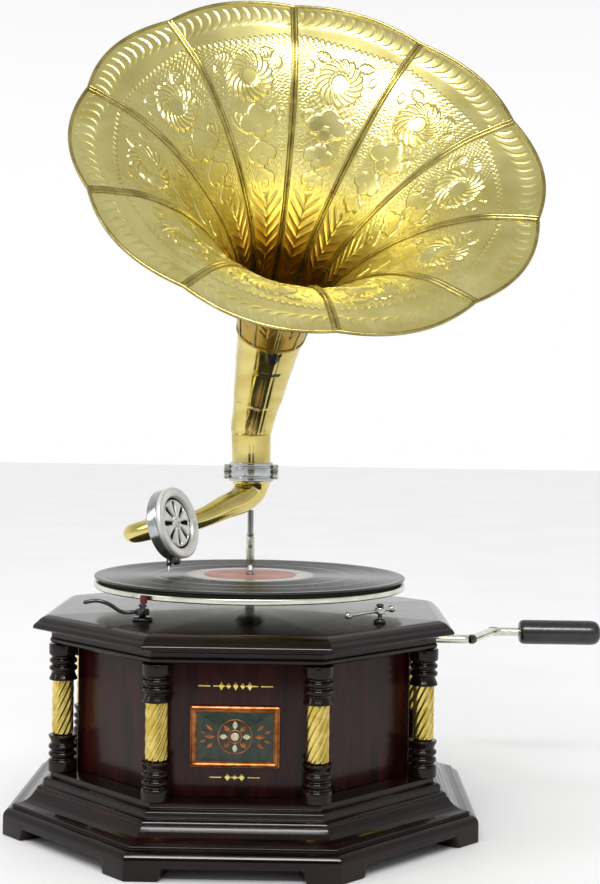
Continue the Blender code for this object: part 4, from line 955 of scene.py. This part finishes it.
# Painted reflection: black sleeves round the bar at its two bends stand in for the dark reflection seen
# there.
for i, bend_path in enumerate((((184, CRANK_Y, CRANK_Z), (188, CRANK_Y, CRANK_Z), (189.4, 32.8, 140.1)),
        ((216.4, 125.9, 133), (217, GRIP_Y, GRIP_Z), (225, GRIP_Y, GRIP_Z)))):
    bar(f"crank_bend_shade_{i + 1}", bend_path, 4, 2, "black", "crank", count=32)
side_place = frame_at((0, CRANK_Y, CRANK_Z), (1, 0, 0), (0, 1, 0))
turned("crank_bush", ((4, 110), (4.9, 110), (5, 111), (5, 129.6), (5, 131.2), (4.7, 131.9), (4, 131.9)),
    side_place, "nickel", "case", ["crank_bushing"], bore=True, ease=0.2)
grip_place = frame_at((242, GRIP_Y, GRIP_Z), (1, 0, 0), (0, 1, 0))
turned("crank_handle", ((4, 0), (8.2, 0), (9.4, 0.7), (10.6, 2.4), (11, 5), (11, 64), (10.7, 67.6),
    (9.4, 70.6), (7, 72.6), (4.4, 73.4), (0.02, 73.5), (0.02, 69.7), (4, 69.6)), grip_place, "grip",
    "crank_grip", ["crank_grip"], count=64, bore=True, ease=0.8)

# ---- The plaque: a made-up ornament in a copper frame ----

PLAQUE_X, PANEL_Y, PLAQUE_Z = -2, -130.3, 90.6
PLAQUE = frame_at((PLAQUE_X, PANEL_Y, PLAQUE_Z), (0, -1, 0), (1, 0, 0))
# (half its width, half its height, how far it stands out) from the frame's outer edge to its inner one.
FRAME_STEPS = ((33, 22.8, 0.05), (33, 22.8, 1.5), (32.6, 22.4, 2.1), (31.8, 21.6, 2.3), (31.2, 21, 2.9),
    (30.2, 20, 3), (29.6, 19.4, 2.6), (29, 18.8, 2.5), (28.6, 18.4, 1.9), (28.2, 18, 1.8), (28.2, 18, 0.05))
FRAME_CORNER = 1.4
rows = []
for x, y, z in FRAME_STEPS:
    outline = rounded_rectangle(2 * x, 2 * y, max(0.3, FRAME_CORNER + x - FRAME_STEPS[0][0]))
    rows.append(np.column_stack([outline, np.full(len(outline), z)]))
add_piece("plaque_frame", skinned(rows, ring=True), "copper", "case", ["front_plaque"], 30, PLAQUE)
block("plaque_field", (56.2, 35.8, 1), (0, 0, 0.8), PLAQUE, "field", "case", radius=0.8, edge=0.15)


def petal_outline(start, length, width, turn):
    """A pointed petal's outline, from its start out at this turn."""
    along = np.linspace(0, 1, 20)
    half = width / 2 * np.sin(pi * along)
    x = np.concatenate([along, along[-2:0:-1]]) * length
    y = np.concatenate([half, -half[-2:0:-1]])
    return np.column_stack([start[0] + x * cos(turn) - y * sin(turn),
        start[1] + x * sin(turn) + y * cos(turn)])


for near, far, tag in ((12, 12.9, "outer"), (4.4, 5.2, "inner")):
    turned(f"plaque_ring_{tag}", ((near, 1.25), (far, 1.25), (far, 1.8), (near, 1.8)), PLAQUE, "copper",
        "case", bore=True, ease=0.25, count=64)
for k in range(8):
    turn = k * TAU / 8
    outline = petal_outline((5.6 * cos(turn), 5.6 * sin(turn)), 5.9, 3.6, turn)
    outline_block(f"plaque_petal_{k + 1}", outline, (1.25, 1.85), PLAQUE,
        "cream" if k % 2 == 0 else "copper", "case", edge=0.12)
turned("plaque_boss", ((3.2, 1.25), (3, 1.9), (1.8, 2.4), (0.01, 2.5)), PLAQUE, "cream", "case", ease=0.6)
for side, tag in BOTH_SIDES:
    for k, (x, y, turn, size) in enumerate(((14.6, 0, 0, 7.5), (16.2, 4.4, 0.75, 6.4),
            (16.2, -4.4, -0.75, 6.4), (21.2, 2.4, 0.4, 5.2), (21.2, -2.4, -0.4, 5.2))):
        outline = petal_outline((x, y), size, size * 0.42, turn)
        outline[:, 0] *= side
        outline_block(f"plaque_leaf_{tag}_{k + 1}", outline, (1.25, 1.8), PLAQUE, "copper", "case",
            edge=0.12)

# Gilt lines above and below the plaque: two bars at each side of a row of lozenges.
for tag, z, length, count in (("upper", 36.9, 58, 5), ("lower", -30.1, 40, 3)):
    for side, name in BOTH_SIDES:
        for k in range(2):
            middle = (side * (length / 2 - 6 - 11 * k), z, 0.2)
            block(f"panel_line_{tag}_{name}_{k + 1}", (9, 0.9, 0.35), middle, PLAQUE, "gilt", "case",
                radius=0.4, edge=0.1)
    for k in range(count):
        x = (k - (count - 1) / 2) * 5.2
        tall = 3.2 if k % 2 == 0 else 2.2
        outline = ((x + 1.9, z), (x, z + tall), (x - 1.9, z), (x, z - tall))
        outline_block(f"panel_lozenge_{tag}_{k + 1}", outline, (0.05, 0.45), PLAQUE, "gilt", "case",
            edge=0.12)

# ---- What the frame already shapes: the spring motor and the floor of the case ----

MOTOR_LOOKS = {
    "panel_wood": ["bottom_board"],
    "iron": ["motor_bedplate", "motor_lower_frame"],
    "steel": ["spindle", "mainspring", "winding_pinion", "winding_arbor"],
    "gear_brass": ["idler_wheel", "spring_barrel", "barrel_gear", "governor"],
}
EASED_EDGE = 0.0002
for look, motor_parts in MOTOR_LOOKS.items():
    for node in motor_parts:
        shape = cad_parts[node]
        shape.data.materials.clear()
        shape.data.materials.append(LOOKS[look][0])
        eased = shape.modifiers.new("eased_edges", "BEVEL")
        eased.width, eased.segments = EASED_EDGE, 2
        eased.limit_method, eased.angle_limit = "ANGLE", radians(40)
        eased.use_clamp_overlap = True

# ---- Floor, light and camera ----

scene = bpy.context.scene


def stage_plane(name, corners, look):
    mesh = bpy.data.meshes.new(name)
    mesh.from_pydata(corners, [], [(0, 1, 2, 3)])
    mesh.materials.append(look)
    plane = bpy.data.objects.new(name, mesh)
    scene.collection.objects.link(plane)
    return plane


FLOOR_REACH, FLOOR_Z = 9, -0.0003
stage_plane("floor",
    [(x * FLOOR_REACH, y * FLOOR_REACH, FLOOR_Z) for x, y in ((-1, -1), (1, -1), (1, 1), (-1, 1))],
    material("floor_paper", (0.84, 0.84, 0.845), (0.87, 0.87, 0.875), 0, (0.55, 0.65), 4, 0.01))
# A dark cloth out in front, for the brass to mirror.
CLOTH_REACH, CLOTH_Y, CLOTH_TOP = 0.75, -2.3, 0.62
cloth = stage_plane("dark_cloth",
    [(x * CLOTH_REACH, CLOTH_Y, z * CLOTH_TOP) for x, z in ((-1, 0), (1, 0), (1, 1), (-1, 1))],
    material("dark_cloth", (0.02, 0.018, 0.015), (0.05, 0.045, 0.04), 0, (0.8, 0.95)))
cloth.visible_camera = False

sky = bpy.data.worlds.new("studio")
scene.world = sky
sky.use_nodes = True
tree = sky.node_tree
sky_place = add_node(tree, "TexCoord", output="Generated")


def toward(axis, *span):
    """Brightness that goes smoothly from one level to another along one axis of the sky."""
    place = add_node(tree, "SeparateXYZ", {"Vector": sky_place}, axis)
    return smooth_span(tree, place, *span)


brightness = add_node(tree, "Math", {0: toward("Y", -0.3, 0.55, 0.62, 1),
    1: toward("Z", 0.15, 0.6, 1, 0.72)}, operation="MULTIPLY")
feed(tree, tree.nodes["Background"], {"Color": brightness, "Strength": 1})


def lamp(name, kind, at, towards, energy, **settings):
    light = bpy.data.lights.new(name, kind)
    light.energy = energy
    for setting, value in settings.items():
        setattr(light, setting, value)
    thing = bpy.data.objects.new(name, light)
    scene.collection.objects.link(thing)
    thing.location = at
    thing.rotation_euler = (Vector(towards) - Vector(at)).to_track_quat("-Z", "Y").to_euler()
    return thing


def panel_light(name, at, towards, energy, size, size_y):
    return lamp(name, "AREA", at, towards, energy, shape="RECTANGLE", size=size, size_y=size_y)


panel_light("strip_light", (-0.1, -1.8, 2), (0, 0, 0.3), 22, 2.2, 0.3)
glint = panel_light("glint_light", (0, -1.9, 1.9), (0, 0, 0.2), 52, 1.6, 0.45)
glint.visible_diffuse = False
panel_light("side_light", (-1.9, -0.7, 1.3), (0, 0, 0.3), 6, 0.5, 1.2)
ceiling = lamp("ceiling_light", "SUN", (-0.3, -0.5, 3), (0, 0, 0), 1.35, angle=radians(70))
ceiling.visible_glossy = False

CAMERA_AT = np.array([52.86, -1164.3, 321.54]) * MM + CASE
CAMERA_AZIMUTH, CAMERA_ELEVATION, CAMERA_ROLL = 90.574, -0.821, radians(0.798)
# The focal length, in heights of the picture.
FOCAL_SHARE = 1.604118
lens = bpy.data.cameras.new("camera")
lens.lens = lens.sensor_width * FOCAL_SHARE
lens.clip_start, lens.clip_end = 0.05, 50
camera = bpy.data.objects.new("camera", lens)
scene.collection.objects.link(camera)
forward = bearing(CAMERA_AZIMUTH, CAMERA_ELEVATION)
level = bearing(CAMERA_AZIMUTH - 90, 0)
rise = np.cross(level, forward)
right = level * cos(CAMERA_ROLL) + rise * sin(CAMERA_ROLL)
upwards = rise * cos(CAMERA_ROLL) - level * sin(CAMERA_ROLL)
camera.matrix_world = Matrix(np.column_stack([right, upwards, -forward, CAMERA_AT])).to_4x4()
scene.camera = camera
scene.view_settings.view_transform = "Standard"
